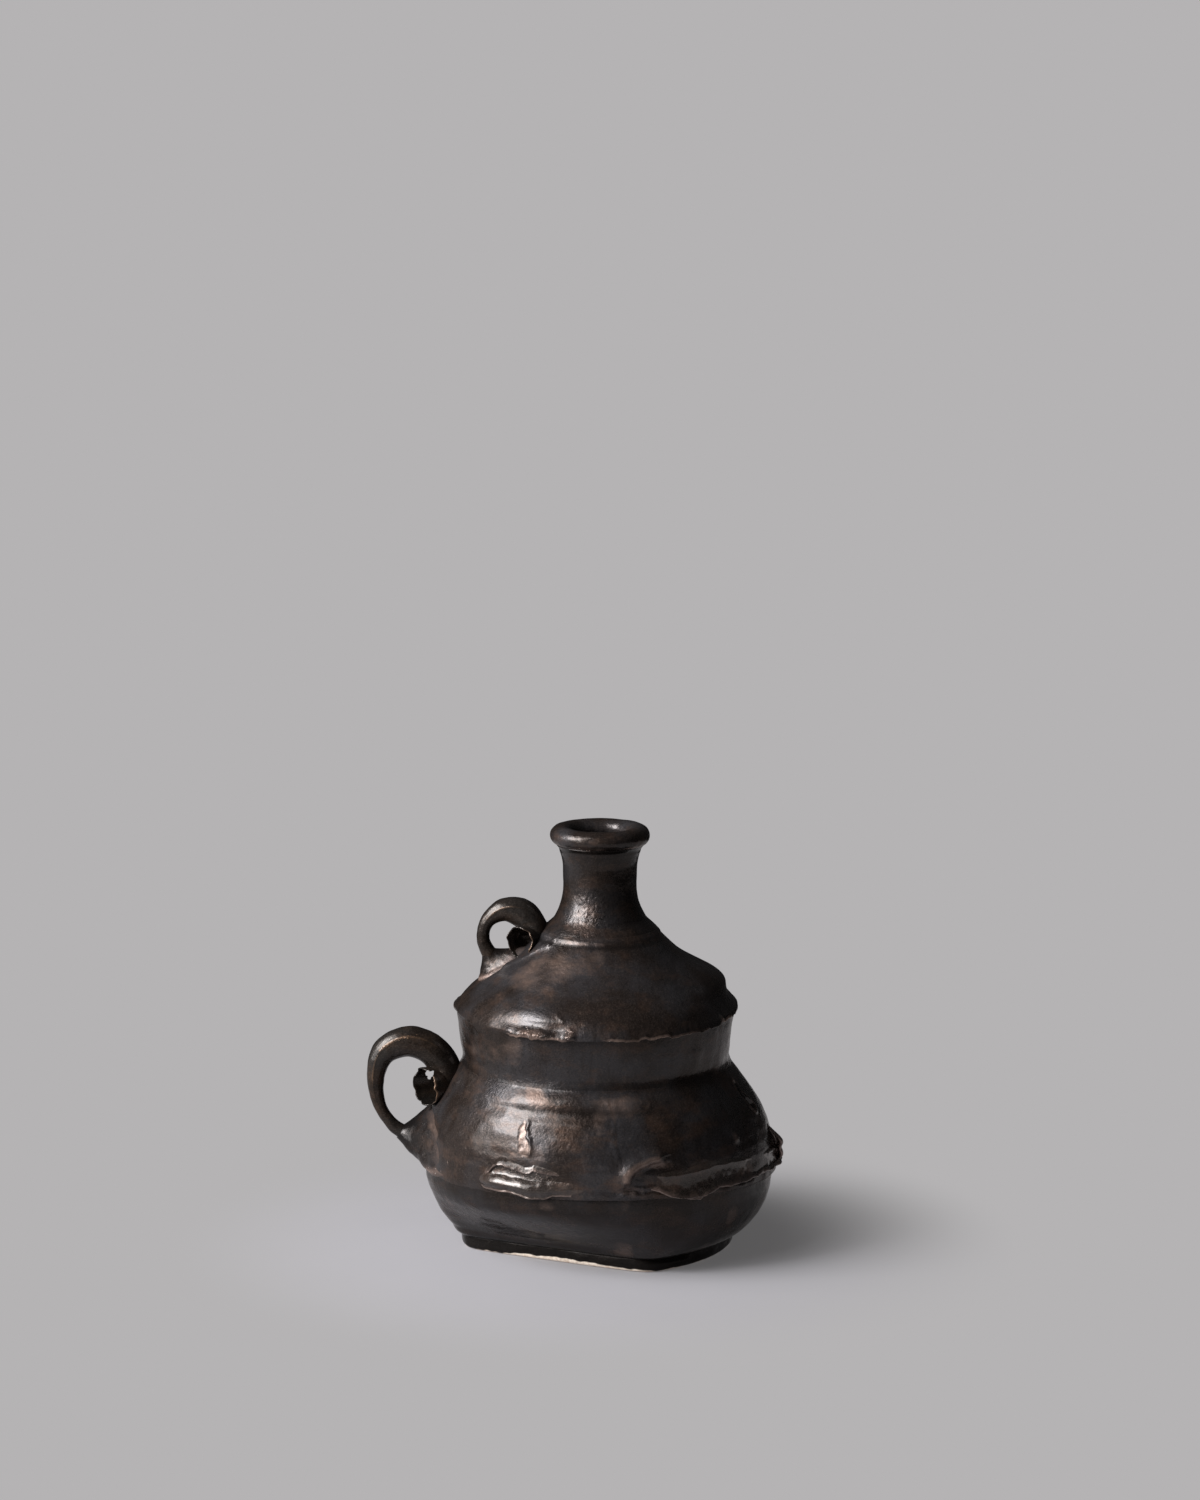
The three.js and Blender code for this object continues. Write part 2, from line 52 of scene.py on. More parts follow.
LATTICE = 32
SEAM_HEIGHT = 27.3
SEAM_RISE = 2.5
SEAM_RISE_HALF = 24
WAIST_HEIGHT = 65.5
RIM_HEIGHT = 83.5
DOME_TOP_HEIGHT = 113.5
LOBE_SQUEEZE = 0.05
LOBE_SHIFT = -1.1
HUMP_PROUD = 4
HUMP_ANGLE = 92
HUMP_HALF_TURN = 48
HUMP_HEIGHT = 97.5
HUMP_HALF_HEIGHT = 8
HUMP_RADIUS = 35.4
FRONT = np.arange(-75, 100, 0.4)
BACK = np.arange(100, 285, 1.4)
ROUND = np.radians(np.concatenate([FRONT, BACK]))[:, None]


def smooth(value, low, high):
    """Nothing below low, one above high, and an easy slope between."""
    part = np.clip((value - low) / (high - low), 0, 1)
    return part * part * (3 - 2 * part)


def swell(value, middle, half):
    """One in the middle of a stretch, falling softly to nothing at its half width."""
    away = np.clip(np.abs(value - middle) / half, 0, 1)
    return (1 - away * away) ** 2


def degrees(theta):
    """Angle from the front, from -180 to 180, to the right seen from the front."""
    return (np.degrees(theta) + 180) % 360 - 180


def formed(radius, theta, z):
    """Where a point of the thrown round stands once the pot was squeezed, cut flat and pushed out."""
    towards = np.maximum(np.cos(theta - math.radians(FLAT_ANGLE)), 0.05)
    straight = np.exp(-FLAT_DISTANCE / towards / FLAT_CORNER)
    cut = -FLAT_CORNER * np.log(math.exp(-FOOT_RADIUS / FLAT_CORNER) + straight) / FOOT_RADIUS
    flat = 1 + (cut - 1) * (1 - smooth(z, FOOT_THICKNESS, FOOT_THICKNESS + FLAT_FADE))
    humped = swell(degrees(theta), HUMP_ANGLE, HUMP_HALF_TURN) * swell(z, HUMP_HEIGHT, HUMP_HALF_HEIGHT)
    hump = 1 + HUMP_PROUD * humped / HUMP_RADIUS
    turned = radius * flat * hump
    lean = smooth(z, SEAM_HEIGHT, WAIST_HEIGHT) * (1 - smooth(z, RIM_HEIGHT, DOME_TOP_HEIGHT))
    squeeze = smooth(z, FOOT_THICKNESS, SEAM_HEIGHT) * (1 - smooth(z, SEAM_HEIGHT, WAIST_HEIGHT))
    lift = SEAM_RISE * np.maximum(np.cos(theta), 0) ** 2 * swell(z, SEAM_HEIGHT, SEAM_RISE_HALF)
    x = turned * np.sin(theta) + LOBE_SHIFT * lean
    y = -turned * np.cos(theta) * (1 - LOBE_SQUEEZE * squeeze)
    return np.stack(np.broadcast_arrays(x, y, z + lift), -1)


def lump(points, size, seed):
    """Unevenness of hand-worked clay: soft lumps of a size, from -1 to 1, the same on every run."""
    lattice = np.random.default_rng(seed).uniform(-1, 1, (LATTICE, LATTICE, LATTICE))
    cell = np.floor(points / size).astype(int)
    part = points / size - cell
    part = part * part * (3 - 2 * part)
    total = 0
    for corner in np.ndindex(2, 2, 2):
        weight = np.prod(np.where(np.array(corner, bool), part, 1 - part), -1)
        total = total + weight * lattice[tuple(np.moveaxis((cell + corner) % LATTICE, -1, 0))]
    return total


def hand(points):
    """What the fingers left on every wall: slow waves, dabs and a fine grit under the glaze."""
    return 0.42 * lump(points, 24, 1) + 0.22 * lump(points, 9, 2) + 0.11 * lump(points, 3.6, 3)


def spread(values, count):
    """Values given at even steps, spread evenly over count steps."""
    return np.interp(np.linspace(0, 1, count), np.linspace(0, 1, len(values)), values)


def skin(name, loops, ring=False, **marks):
    """Closed mesh over a row of closed loops, which meet end to end as a ring or are capped at both ends."""
    rows, size = loops.shape[:2]
    points = loops.reshape(-1, 3)
    step = np.arange(rows if ring else rows - 1)[:, None]
    here = step * size + np.arange(size)
    there = (step + 1) % rows * size + np.arange(size)
    sides = np.stack([here, np.roll(here, -1, 1), np.roll(there, -1, 1), there], -1).reshape(-1, 4)
    values = {key: np.broadcast_to(mark, (rows, size)).reshape(-1) for key, mark in marks.items()}
    faces = sides.tolist()
    if not ring:
        ends = loops[[0, -1]].mean(1)
        first, last = len(points), len(points) + 1
        edge = np.arange(size)
        far = edge + (rows - 1) * size
        faces += np.stack([np.full(size, first), np.roll(edge, -1), edge], -1).tolist()
        faces += np.stack([np.full(size, last), far, np.roll(far, -1)], -1).tolist()
        points = np.concatenate([points, ends])
        values = {key: np.append(mark, [mark[0], mark[-1]]) for key, mark in values.items()}
    corners = points[sides]
    turn = np.cross(corners[:, 2] - corners[:, 0], corners[:, 3] - corners[:, 1])
    if np.sum((corners.mean(1) - points.mean(0)) * turn) < 0:
        faces = [face[::-1] for face in faces]
    mesh = bpy.data.meshes.new(name)
    mesh.from_pydata((points * MM).tolist(), [], faces)
    for key, mark in values.items():
        mesh.attributes.new(key, "FLOAT", "POINT").data.foreach_set("value", mark.astype(np.float32))
    mesh.shade_smooth()
    piece = bpy.data.objects.new(name, mesh)
    bpy.context.scene.collection.objects.link(piece)
    return piece


def fire(piece, cad_node, material):
    """A finished piece takes its glaze, stands for its CAD node and rides with the vase."""
    piece.data.materials.append(material)
    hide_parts(cad_node)
    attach(piece, "root")


def linear(colour):
    """Linear colour for an sRGB hex value."""
    parts = [int(colour[i:i + 2], 16) / 255 for i in (1, 3, 5)]
    return [c / 12.92 if c <= 0.04045 else ((c + 0.055) / 1.055) ** 2.4 for c in parts] + [1.0]


def node(tree, kind, inputs, **settings):
    """A node with its settings, its values and its links."""
    made = tree.nodes.new(kind)
    for key, value in settings.items():
        setattr(made, key, value)
    for key, value in inputs.items():
        if isinstance(value, bpy.types.NodeSocket):
            tree.links.new(value, made.inputs[key])
        else:
            made.inputs[key].default_value = value
    return made


def bronze_glaze(name, dark, cloudy, brown, brown_share, broken, coat=0.24):
    """Glossy manganese glaze: bronze black, cloudy grey where thick, copper where it broke thin."""
    material = bpy.data.materials.new(name)
    material.use_nodes = True
    tree = material.node_tree
    surface = tree.nodes["Principled BSDF"]
    where = node(tree, "ShaderNodeTexCoord", {}).outputs["Object"]
    thin, pool, rough = (
        node(tree, "ShaderNodeAttribute", {}, attribute_name=mark).outputs["Fac"]
        for mark in ("thin", "pool", "rough")
    )

    # Clouds, brown patches wiped sideways, runs drawn downwards, flecks, pin holes, orange peel and pits:
    # their size in millimetres, how the pattern is squeezed, and the detail and roughness of its noise
    pattern = {}
    for label, size, squeeze, detail, roughness in (
        ("cloud", 18, (1, 1, 1), 3, 0.5),
        ("patch", 6, (0.5, 0.5, 1), 5, 0.65),
        ("run", 2.4, (1, 1, 0.13), 3, 0.5),
        ("fleck", 0.5, (1, 1, 1), 2, 0.5),
        ("pin", 0.9, (1, 1, 1), 3, 0.7),
        ("peel", 1.5, (1, 1, 1), 3, 0.5),
        ("pit", 0.7, (1, 1, 1), 2, 0.5),
    ):
        squeezed = node(tree, "ShaderNodeMapping", {"Vector": where, "Scale": squeeze}).outputs[0]
        pattern[label] = node(
            tree, "ShaderNodeTexNoise",
            {"Vector": squeezed, "Scale": 1 / (size * MM), "Detail": detail, "Roughness": roughness},
        ).outputs[0]

    # Where a pattern begins to show, where it shows fully, and how much of it shows then
    shown = {}
    for label, begins, full, most in (
        ("cloud", 0.4, 0.62, 1),
        ("patch", 0.5, 0.68, brown_share),
        ("run", 0.5, 0.7, 0.35),
        ("fleck", 0.48, 0.75, 0.35),
        ("pin", 0.46, 0.37, 1),
        ("pit", 0.36, 0.52, 1),
    ):
        shown[label] = node(
            tree, "ShaderNodeMapRange",
            {"Value": pattern[label], "From Min": begins, "From Max": full, "To Max": most},
        ).outputs[0]

    # Flecks lie in the patches, pin holes and pits mostly where the wall was left rough, and the glaze breaks
    # unevenly where it is thin, so the patches decide how far the copper shows
    pricked = node(tree, "ShaderNodeMath", {0: rough, 1: 0.6, 2: 0.2}, operation="MULTIPLY_ADD").outputs[0]
    flecks, pins, pits, worn = (
        node(tree, "ShaderNodeMath", {0: share, 1: place}, operation="MULTIPLY").outputs[0]
        for share, place in (
            (shown["fleck"], pattern["patch"]), (shown["pin"], pricked),
            (shown["pit"], rough), (thin, pattern["patch"]),
        )
    )
    bared = node(tree, "ShaderNodeMapRange", {"Value": worn, "From Min": 0.12, "From Max": 0.5}).outputs[0]
    # The pool mark darkens the glaze to near black: where glaze pooled thick, and as painted shade where a
    # piece is marked for it.
    colour = linear(dark)
    for share, over in (
        (shown["cloud"], cloudy), (shown["patch"], brown), (shown["run"], "#211d1b"), (flecks, "#70645c"),
        (pins, "#0d0b0a"), (bared, broken), (pool, "#12100f"),
    ):
        tones = {0: share, 6: colour, 7: linear(over)}
        colour = node(tree, "ShaderNodeMix", tones, data_type="RGBA").outputs[2]

    # Glassy where the glaze pooled, satin where it is thin or dry
    shine = node(
        tree, "ShaderNodeMapRange",
        {"Value": pattern["patch"], "From Min": 0.35, "From Max": 0.7, "To Min": 0.21, "To Max": 0.38},
    ).outputs[0]
    for share, more in ((bared, 0.1), (pool, -0.1)):
        added = {0: share, 1: more, 2: shine}
        shine = node(tree, "ShaderNodeMath", added, operation="MULTIPLY_ADD").outputs[0]
    relief = pattern["peel"]
    for share, height in ((pattern["fleck"], 0.25), (pattern["run"], 0.2), (pits, 0.35)):
        added = {0: share, 1: height, 2: relief}
        relief = node(tree, "ShaderNodeMath", added, operation="MULTIPLY_ADD").outputs[0]
    bump = node(tree, "ShaderNodeBump", {"Height": relief, "Strength": 0.5, "Distance": 0.4 * MM}).outputs[0]
    for socket, source in (("Base Color", colour), ("Roughness", shine), ("Normal", bump)):
        tree.links.new(source, surface.inputs[socket])
    for socket, value in (
        ("Metallic", 0.5), ("Specular IOR Level", 0.3), ("Specular Tint", linear("#a59b96")),
        ("Coat Weight", coat), ("Coat Roughness", 0.14),
    ):
        surface.inputs[socket].default_value = value
    return material


foot_outline = np.array([
    (2, 0), (16, 0), (32, 0), (44, 0), (47.8, 0), (48.8, 0.1), (49.5, 0.4), (49.9, 0.9), (50, 1.6), (50, 2.3),
    (50, 3), (49.9, 3.7), (49.8, 4.3), (49.6, 4.8), (49.2, 5.1), (46, 5.1), (30, 5.1), (2, 5.1),
])
foot_radius, foot_height = (spread(foot_outline[:, axis], FOOT_ROWS)[:, None] for axis in (0, 1))
foot_turn = degrees(ROUND.T)
foot_points = formed(foot_radius, ROUND.T, foot_height)
foot_edge = smooth(foot_radius, 40, 48) * swell(foot_height, 2.6, 2.6)
# Tucked in under the bowl's edge, most at the right
foot_tuck = smooth(foot_radius, 30, 48) * (0.7 + 2.6 * swell(foot_turn, 62, 75))
foot_uneven = foot_edge * (hand(foot_points) + 0.25 * lump(foot_points, 5, 4))
foot_points = formed(foot_radius - foot_tuck + foot_uneven, ROUND.T, foot_height)
wiped_height = 0.35 + 1.25 * swell(foot_turn, -18, 58) + 0.5 * lump(foot_points * (1, 1, 0), 2.5, 5)
bare = 1 - smooth(foot_height, wiped_height - 0.15, wiped_height + 0.15)
# The glazed part is marked pooled all over: painted shade near the floor.
foot = skin("foot_slab_wiped", foot_points, bare=bare, pool=0.85 * (1 - bare))

# Glazed black down to a ragged line, darker than on the walls as painted shade near the floor,
# and below it dry cream clay toasted brown by the fire
foot_glaze = bronze_glaze(
    "bronze_black_glaze_wiped_to_stoneware",
    dark="#161210", cloudy="#1b1818", brown="#2b231e", brown_share=0.5, broken="#6d5b52",
)
foot_tree = foot_glaze.node_tree
foot_surface = foot_tree.nodes["Principled BSDF"]
bare_clay = node(foot_tree, "ShaderNodeAttribute", {}, attribute_name="bare").outputs["Fac"]
clay_place = node(foot_tree, "ShaderNodeTexCoord", {}).outputs["Object"]
clay_grit = node(
    foot_tree, "ShaderNodeTexNoise", {"Vector": clay_place, "Scale": 1 / (CLAY_GRIT * MM), "Detail": 4}
).outputs[0]
toasted = node(
    foot_tree, "ShaderNodeMapRange", {"Value": clay_grit, "From Min": 0.45, "From Max": 0.75, "To Max": 0.7}
).outputs[0]
clay_colour = node(
    foot_tree, "ShaderNodeMix", {0: toasted, 6: linear("#d8cbbd"), 7: linear("#a48a76")}, data_type="RGBA"
).outputs[2]
glazed_colour = foot_surface.inputs["Base Color"].links[0].from_socket
glazed_shine = foot_surface.inputs["Roughness"].links[0].from_socket
foot_colour = node(
    foot_tree, "ShaderNodeMix", {0: bare_clay, 6: glazed_colour, 7: clay_colour}, data_type="RGBA"
).outputs[2]
foot_tree.links.new(foot_colour, foot_surface.inputs["Base Color"])
for socket, on_glaze, on_clay in (
    ("Roughness", glazed_shine, 0.85), ("Metallic", 0.3, 0), ("Coat Weight", 0.05, 0)
):
    wiped = node(foot_tree, "ShaderNodeMix", {0: bare_clay, 2: on_glaze, 3: on_clay}).outputs[0]
    foot_tree.links.new(wiped, foot_surface.inputs[socket])
foot_surface.inputs["Specular IOR Level"].default_value = 0.15
fire(foot, "foot_slab", foot_glaze)

# Lower bowl
# A thrown and squeezed bowl of stoneware, luted on the slab with slip.
# Its wall swells out over the straight side of the foot, and a groove is left where the two meet.
BODY_WALL = 4.5
INSIDE_STEP = 6
STEEPEST = 1.9


def outline(start, start_sweep, end_sweep, end, count, lap_start=0.0, lap_end=0.0):
    """Radius and height along a wall that leaves one end and comes in to the other with these sweeps.

    A lap carries the line on past an end, by that share of it, under the neighbouring wall.
    """
    t = np.linspace(-lap_start, 1 + lap_end, count)[:, None]
    start, end = np.array(start, float), np.array(end, float)
    near, far = start + start_sweep, end - np.array(end_sweep)
    return (1 - t) ** 3 * start + 3 * t * (1 - t) ** 2 * near + 3 * t * t * (1 - t) * far + t ** 3 * end


def thrown_piece(name, profile, wall, relief, lift=0.0, **marks):
    """A thrown wall as a ring of loops: up the outside with its relief and marks, down the plain inside."""
    outside = formed(profile[:, 0] + relief, ROUND, profile[:, 1] + lift)
    inner = profile[::-INSIDE_STEP].copy()
    slope = np.gradient(profile[:, 0], profile[:, 1])[::-INSIDE_STEP]
    inner[:, 0] -= wall * np.minimum(np.sqrt(1 + slope ** 2), STEEPEST)
    inside = formed(inner[:, 0], ROUND, inner[:, 1])
    unmarked = np.zeros(inside.shape[:2])
    for key, mark in marks.items():
        marks[key] = np.concatenate([np.broadcast_to(mark, outside.shape[:2]), unmarked], 1)
    return skin(name, np.concatenate([outside, inside], 1), ring=True, **marks)


def throwing_rings(points, z, pitch):
    """Fine rings that the fingers leave as the wheel turns, wandering a little."""
    return np.sin(z / pitch * 2 * np.pi + 2 * lump(points, 30, 6))


turn = degrees(ROUND)
# What marks one side of the pot fades towards the back, so it doesn't end there in a line
facing = 1 - smooth(np.abs(turn), 120, 175)
bowl_profile = outline((48.5, 4.9), (7.5, 3.4), (0, 9), (61, 27), count=78, lap_end=0.08)
bowl_height = bowl_profile[:, 1]
bowl_base = formed(bowl_profile[:, 0], ROUND, bowl_height)
bowl_relief = hand(bowl_base) * smooth(bowl_height, 5, 9)
bowl_relief += (1.9 - 2.6 * swell(turn, 62, 75)) * (1 - smooth(bowl_height, 4.9, 8.5))
bowl_relief += 0.04 * throwing_rings(bowl_base, bowl_height, 4) * smooth(bowl_height, 7, 12)
bowl_relief += 0.6 * lump(bowl_base * (1, 1, 0.35), 34, 7) * swell(bowl_height, 16, 10)
# Flush with the shoulder where the seam was smeared over, and a step in from it along the right strip
seam_open = smooth(turn, -22, 4) * (1 - smooth(turn, 92, 125))
bowl_relief += (1 - seam_open) * (0.9 * smooth(bowl_height, 16, 26) - 0.3 * smooth(bowl_height, 27.6, 30))
# The glaze ran down and pooled over the foot and broke brown in patches; the bowl is darker all over, and
# darker still at the far right as painted shade
bowl_pool = 0.5 + 0.35 * (1 - smooth(bowl_height, 5.3, 7.5)) + 0.4 * smooth(turn, 55, 78) * facing
bowl_thin = 0.6 * smooth(lump(bowl_base, 9, 8), 0.3, 0.8) + 0.1 * seam_open * smooth(bowl_height, 25, 27)
bowl = thrown_piece("lower_bowl_wall", bowl_profile, BODY_WALL, bowl_relief, pool=bowl_pool, thin=bowl_thin)
# Black manganese glaze, glossy where it lies thick, with grey clouds, brown patches and copper edges
body_glaze = bronze_glaze(
    "bronze_black_glaze",
    dark="#29221f", cloudy="#373537", brown="#48372e", brown_share=0.65, broken="#7d6a61",
)
fire(bowl, "lower_bowl", body_glaze)

# Lower shoulder
# A second bowl turned over and luted on the first, its rim a little proud of it all round.
# Under the waist it has a soft ledge and a groove, and on its front a run of glaze, a crease and a fold.
MM_PER_DEGREE = 1.05
CREASE_HEIGHT = 65.4
FILLET_PROUD = 1.45
FILLET_HALF = 4.6


def waist_fillet(away):
    """Clay smoothed into the waist's crease, by the height away from it, and let in a little past it."""
    return FILLET_PROUD * np.clip(1 - away / FILLET_HALF, 0, 1.3) ** 2 - 0.5 * smooth(away, 0, -1.2)


def trace(line, theta, z, per_degree=MM_PER_DEGREE):
    """Distance in millimetres from a line drawn on the wall, and on which side of it: over or under."""
    line = np.array(line, float) * (per_degree, 1)
    across = theta * per_degree
    nearest = np.full(np.broadcast(across, z).shape, 1e9)
    side = np.zeros_like(nearest)
    for start, end in zip(line, line[1:]):
        run = end - start
        share = np.clip(((across - start[0]) * run[0] + (z - start[1]) * run[1]) / (run @ run), 0, 1)
        off_x = across - start[0] - share * run[0]
        off_z = z - start[1] - share * run[1]
        away = np.hypot(off_x, off_z)
        over = np.sign(run[0] * off_z - run[1] * off_x)
        side = np.where(away < nearest, over, side)
        nearest = np.minimum(away, nearest)
    return nearest, side


def ridge(distance, width):
    """Cross-section of a ridge or groove, one on its line."""
    return np.exp(-(distance / width) ** 2)


def oval(z, middle, half):
    """An oval patch of the wall, one in its middle: turn and height of the middle, and their half sizes."""
    return ridge(np.hypot((turn - middle[0]) / half[0], (z - middle[1]) / half[1]), 1)


shoulder_profile = outline(
    (62, SEAM_HEIGHT), (0, 16.7), (-9.8, 9.5), (46.2, WAIST_HEIGHT), count=134, lap_end=0.03
)
z = shoulder_profile[:, 1]
shoulder_base = formed(shoulder_profile[:, 0], ROUND, z)
shoulder_relief = hand(shoulder_base) + 0.03 * throwing_rings(shoulder_base, z, 4.4)
# Soft fillet into the waist, the ledge under it and the groove under the ledge, strongest at the front left
shoulder_relief += waist_fillet(CREASE_HEIGHT - z)
shoulder_relief += 0.9 * swell(z, 62, 4) * (0.3 + 0.7 * swell(turn, -20, 56))
shoulder_relief -= 0.4 * swell(z, 57.8, 3.4) * (0.2 + 0.8 * swell(turn, -18, 56))
# Clay filled in behind the large handle's loop, from its root up to the back of the horn
shoulder_relief += 1.2 * swell(z, 48, 11) * swell(turn, -90, 30)
# Rim rolled out over the seam, left ragged by the fingers
shoulder_relief += seam_open * (0.3 + 0.4 * lump(shoulder_base, 3.5, 9)) * swell(z, 28.4, 2.2)
shoulder_relief -= 0.28 * (1 - seam_open) * (1 - smooth(z, SEAM_HEIGHT, 29.8))
# Scar where a run of glaze broke off at the front left: a shallow bed with a thin raised edge on its right
run_middle = np.interp(z, [43, 46, 50, 54, 56], [-25.4, -26, -26.8, -27.2, -27.5])
run_wander = 0.7 * lump(shoulder_base, 2.6, 10) + 0.3 * lump(shoulder_base, 1.2, 49)
run_across = (turn - run_middle) * MM_PER_DEGREE + run_wander
run_width = 0.6 + 1.4 * swell(z, 47.5, 10) + 0.5 * lump(shoulder_base, 2.2, 47)
run_reach = smooth(z, 42.6, 44) * (1 - smooth(z, 54, 56.4))
run_core = run_reach * (1 - smooth(np.abs(run_across), run_width - 0.8, run_width + 0.4))
run_rim = ridge(run_across - run_width - 0.5, 0.5) + 0.1 * ridge(run_across + run_width + 0.5, 0.5)
shoulder_relief += run_reach * (0.4 + 0.25 * lump(shoulder_base, 1.6, 50)) * run_rim - 0.14 * run_core
shoulder_relief += 0.2 * run_core * lump(shoulder_base, 1.5, 52)
# Broken crease down the front, slanted cut on the right, and a small bump
crease_away, crease_side = trace([(7, 43), (6.5, 47), (6, 50), (6.5, 56.5), (5, 61)], turn, z)
crease_seen = 0.4 + 0.6 * smooth(lump(shoulder_base, 4, 51), -0.2, 0.5)
shoulder_relief += 0.2 * crease_seen * crease_side * ridge(crease_away - 0.8, 0.9)
cut_away = trace([(70.8, 60.2), (70.6, 57.8), (72.2, 54.8), (74.8, 52.4)], turn, z)[0]
shoulder_relief -= 1.0 * ridge(cut_away, 1.2)
shoulder_relief += 0.6 * ridge(cut_away - 2, 0.8)
bump_away = np.hypot((turn - 53) * MM_PER_DEGREE, z - 46)
shoulder_relief += 0.7 * ridge(bump_away, 2.2)
# Fold pinched up at the right strip's left end, with a rough hollow behind it
fold_line = [(8.5, 35), (8.9, 36.6), (10.2, 38.8), (12.8, 40.6), (16.5, 42.4), (19.5, 43)]
fold_away, fold_side = trace(fold_line, turn, z)
fold_steep = np.where(fold_side > 0, 3, 1.9)
shoulder_relief += (1.7 + 0.6 * swell(turn, 9.5, 5)) * ridge(fold_away, fold_steep)
hollow = oval(z, (20, 40.2), (6, 1.9))
shoulder_relief -= hollow * (0.3 + 0.4 * lump(shoulder_base, 2, 11))
# Wrinkles below the fold, where the seam was pinched shut
wrinkled = oval(z, (11, 30.5), (5, 2.6))
wrinkles = 0.3 * np.sin(z * 2.2 + 2.5 * lump(shoulder_base, 5, 12)) + 0.8 * lump(shoulder_base, 2, 57)
shoulder_relief += wrinkled * wrinkles

# The glaze broke thin over everything that stands out, and in brown patches on the ledge and at the left
shoulder_thin = run_core * (0.55 + 0.4 * lump(shoulder_base, 2.5, 53)) + 0.75 * ridge(fold_away, 1.6)
shoulder_thin += 0.6 * crease_seen * ridge(crease_away, 0.9) + 0.7 * hollow + 0.4 * wrinkled
shoulder_thin += 0.45 * ridge(cut_away - 2, 0.8) + 0.7 * ridge(bump_away, 2)
shoulder_thin += 0.1 * seam_open * swell(z, 28, 1.6)
shoulder_thin += 0.15 * swell(z, 62.6, 2.4) * swell(turn, -5, 62)
shoulder_thin += 0.45 * swell(z, 60, 6) * swell(turn, 8, 18)
shoulder_thin += 0.35 * smooth(lump(shoulder_base, 11, 8), 0.3, 0.8)
shoulder_thin += 0.45 * smooth(turn, -62, -95) * facing * swell(z, 36, 18)
# It pooled in the cut, in the groove under the ledge and in the waist's crease
shoulder_pool = 0.6 * ridge(cut_away, 1.1) + 0.45 * swell(z, 58.6, 1.8) * swell(turn, -10, 60)
shoulder_pool += 0.35 * swell(z, 66, 2.5)
shoulder_rough = 0.7 * hollow + wrinkled
shoulder_rough += 0.5 * smooth(lump(shoulder_base, 9, 54), 0, 0.6) * swell(turn, -45, 50)
shoulder = thrown_piece(
    "lower_shoulder_wall", shoulder_profile, BODY_WALL, shoulder_relief,
    thin=np.clip(shoulder_thin, 0, 1), pool=shoulder_pool, rough=shoulder_rough,
)
fire(shoulder, "lower_shoulder", body_glaze)

# Seam strips
# Two strips of clay pressed over the lower seam at the front with the fingers, then glazed with the rest.
# The left one is rolled, torn above and crimped below. The right one is flat, and its hem is ragged.
STRIP_ROWS = 72
lower_walls = np.concatenate([bowl_profile[bowl_height < 27], shoulder_profile])


def bend_line(points, count):
    """Even curve through points, as clay bends: rows of points in, count rows out."""
    ends = 2 * points[[0, -1]] - points[[1, -2]]
    knots = np.concatenate([ends[:1], points, ends[1:]])
    gaps = np.maximum(np.linalg.norm(np.diff(knots, axis=0), axis=-1, keepdims=True), 1e-4) ** 0.5
    rows = []
    for place in np.linspace(0, len(points) - 1, count):
        first = min(int(place), len(points) - 2)
        t = place - first
        a, b, c, d = knots[first:first + 4]
        before, between, after = gaps[first:first + 3]
        leave = ((b - a) / before - (c - a) / (before + between) + (c - b) / between) * between
        arrive = ((c - b) / between - (d - b) / (between + after) + (d - c) / after) * between
        rows.append(
            (2 * t ** 3 - 3 * t ** 2 + 1) * b + (t ** 3 - 2 * t ** 2 + t) * leave
            + (3 * t ** 2 - 2 * t ** 3) * c + (t ** 3 - t ** 2) * arrive
        )
    return np.array(rows)


# Crumbs are scattered over the clay where a piece is marked for them, each a small flattened bead
CRUMB_LEAST = (0.6, 0.5, 0.2)
CRUMB_MOST = (1.7, 1.3, 0.55)
CRUMB_THIN = 0.6
crumb_tree = bpy.data.node_groups.new("clay_crumbs", "GeometryNodeTree")
for label, kind in (
    ("Clay", "NodeSocketGeometry"),
    ("Crumb size", "NodeSocketFloat"),
    ("Crumbs per square metre", "NodeSocketFloat"),
    ("Seed", "NodeSocketInt"),
    ("Glaze", "NodeSocketMaterial"),
):
    crumb_tree.interface.new_socket(label, in_out="INPUT", socket_type=kind)
crumb_tree.interface.new_socket("Crumbs", in_out="OUTPUT", socket_type="NodeSocketGeometry")
given = node(crumb_tree, "NodeGroupInput", {}).outputs
marked = node(crumb_tree, "GeometryNodeInputNamedAttribute", {"Name": "crumb"}, data_type="FLOAT").outputs[0]
thickly = node(
    crumb_tree, "ShaderNodeMath", {0: marked, 1: given["Crumbs per square metre"]}, operation="MULTIPLY"
).outputs[0]
spots = node(
    crumb_tree, "GeometryNodeDistributePointsOnFaces",
    {"Mesh": given["Clay"], "Density": thickly, "Seed": given["Seed"]}, distribute_method="RANDOM",
).outputs
bead = node(
    crumb_tree, "GeometryNodeMeshUVSphere", {"Segments": 8, "Rings": 5, "Radius": given["Crumb size"]}
).outputs["Mesh"]
bead = node(crumb_tree, "GeometryNodeSetShadeSmooth", {"Geometry": bead}).outputs[0]
bead = node(
    crumb_tree, "GeometryNodeStoreNamedAttribute",
    {"Geometry": bead, "Name": "thin", "Value": CRUMB_THIN}, data_type="FLOAT",
).outputs[0]
uneven = node(
    crumb_tree, "FunctionNodeRandomValue",
    {0: CRUMB_LEAST, 1: CRUMB_MOST, "Seed": given["Seed"]}, data_type="FLOAT_VECTOR",
).outputs[0]
stuck = node(
    crumb_tree, "GeometryNodeInstanceOnPoints",
    {"Points": spots["Points"], "Instance": bead, "Rotation": spots["Rotation"], "Scale": uneven},
).outputs[0]
stuck = node(crumb_tree, "GeometryNodeRealizeInstances", {"Geometry": stuck}).outputs[0]
stuck = node(
    crumb_tree, "GeometryNodeSetMaterial", {"Geometry": stuck, "Material": given["Glaze"]}
).outputs[0]
node(crumb_tree, "NodeGroupOutput", {"Crumbs": stuck})


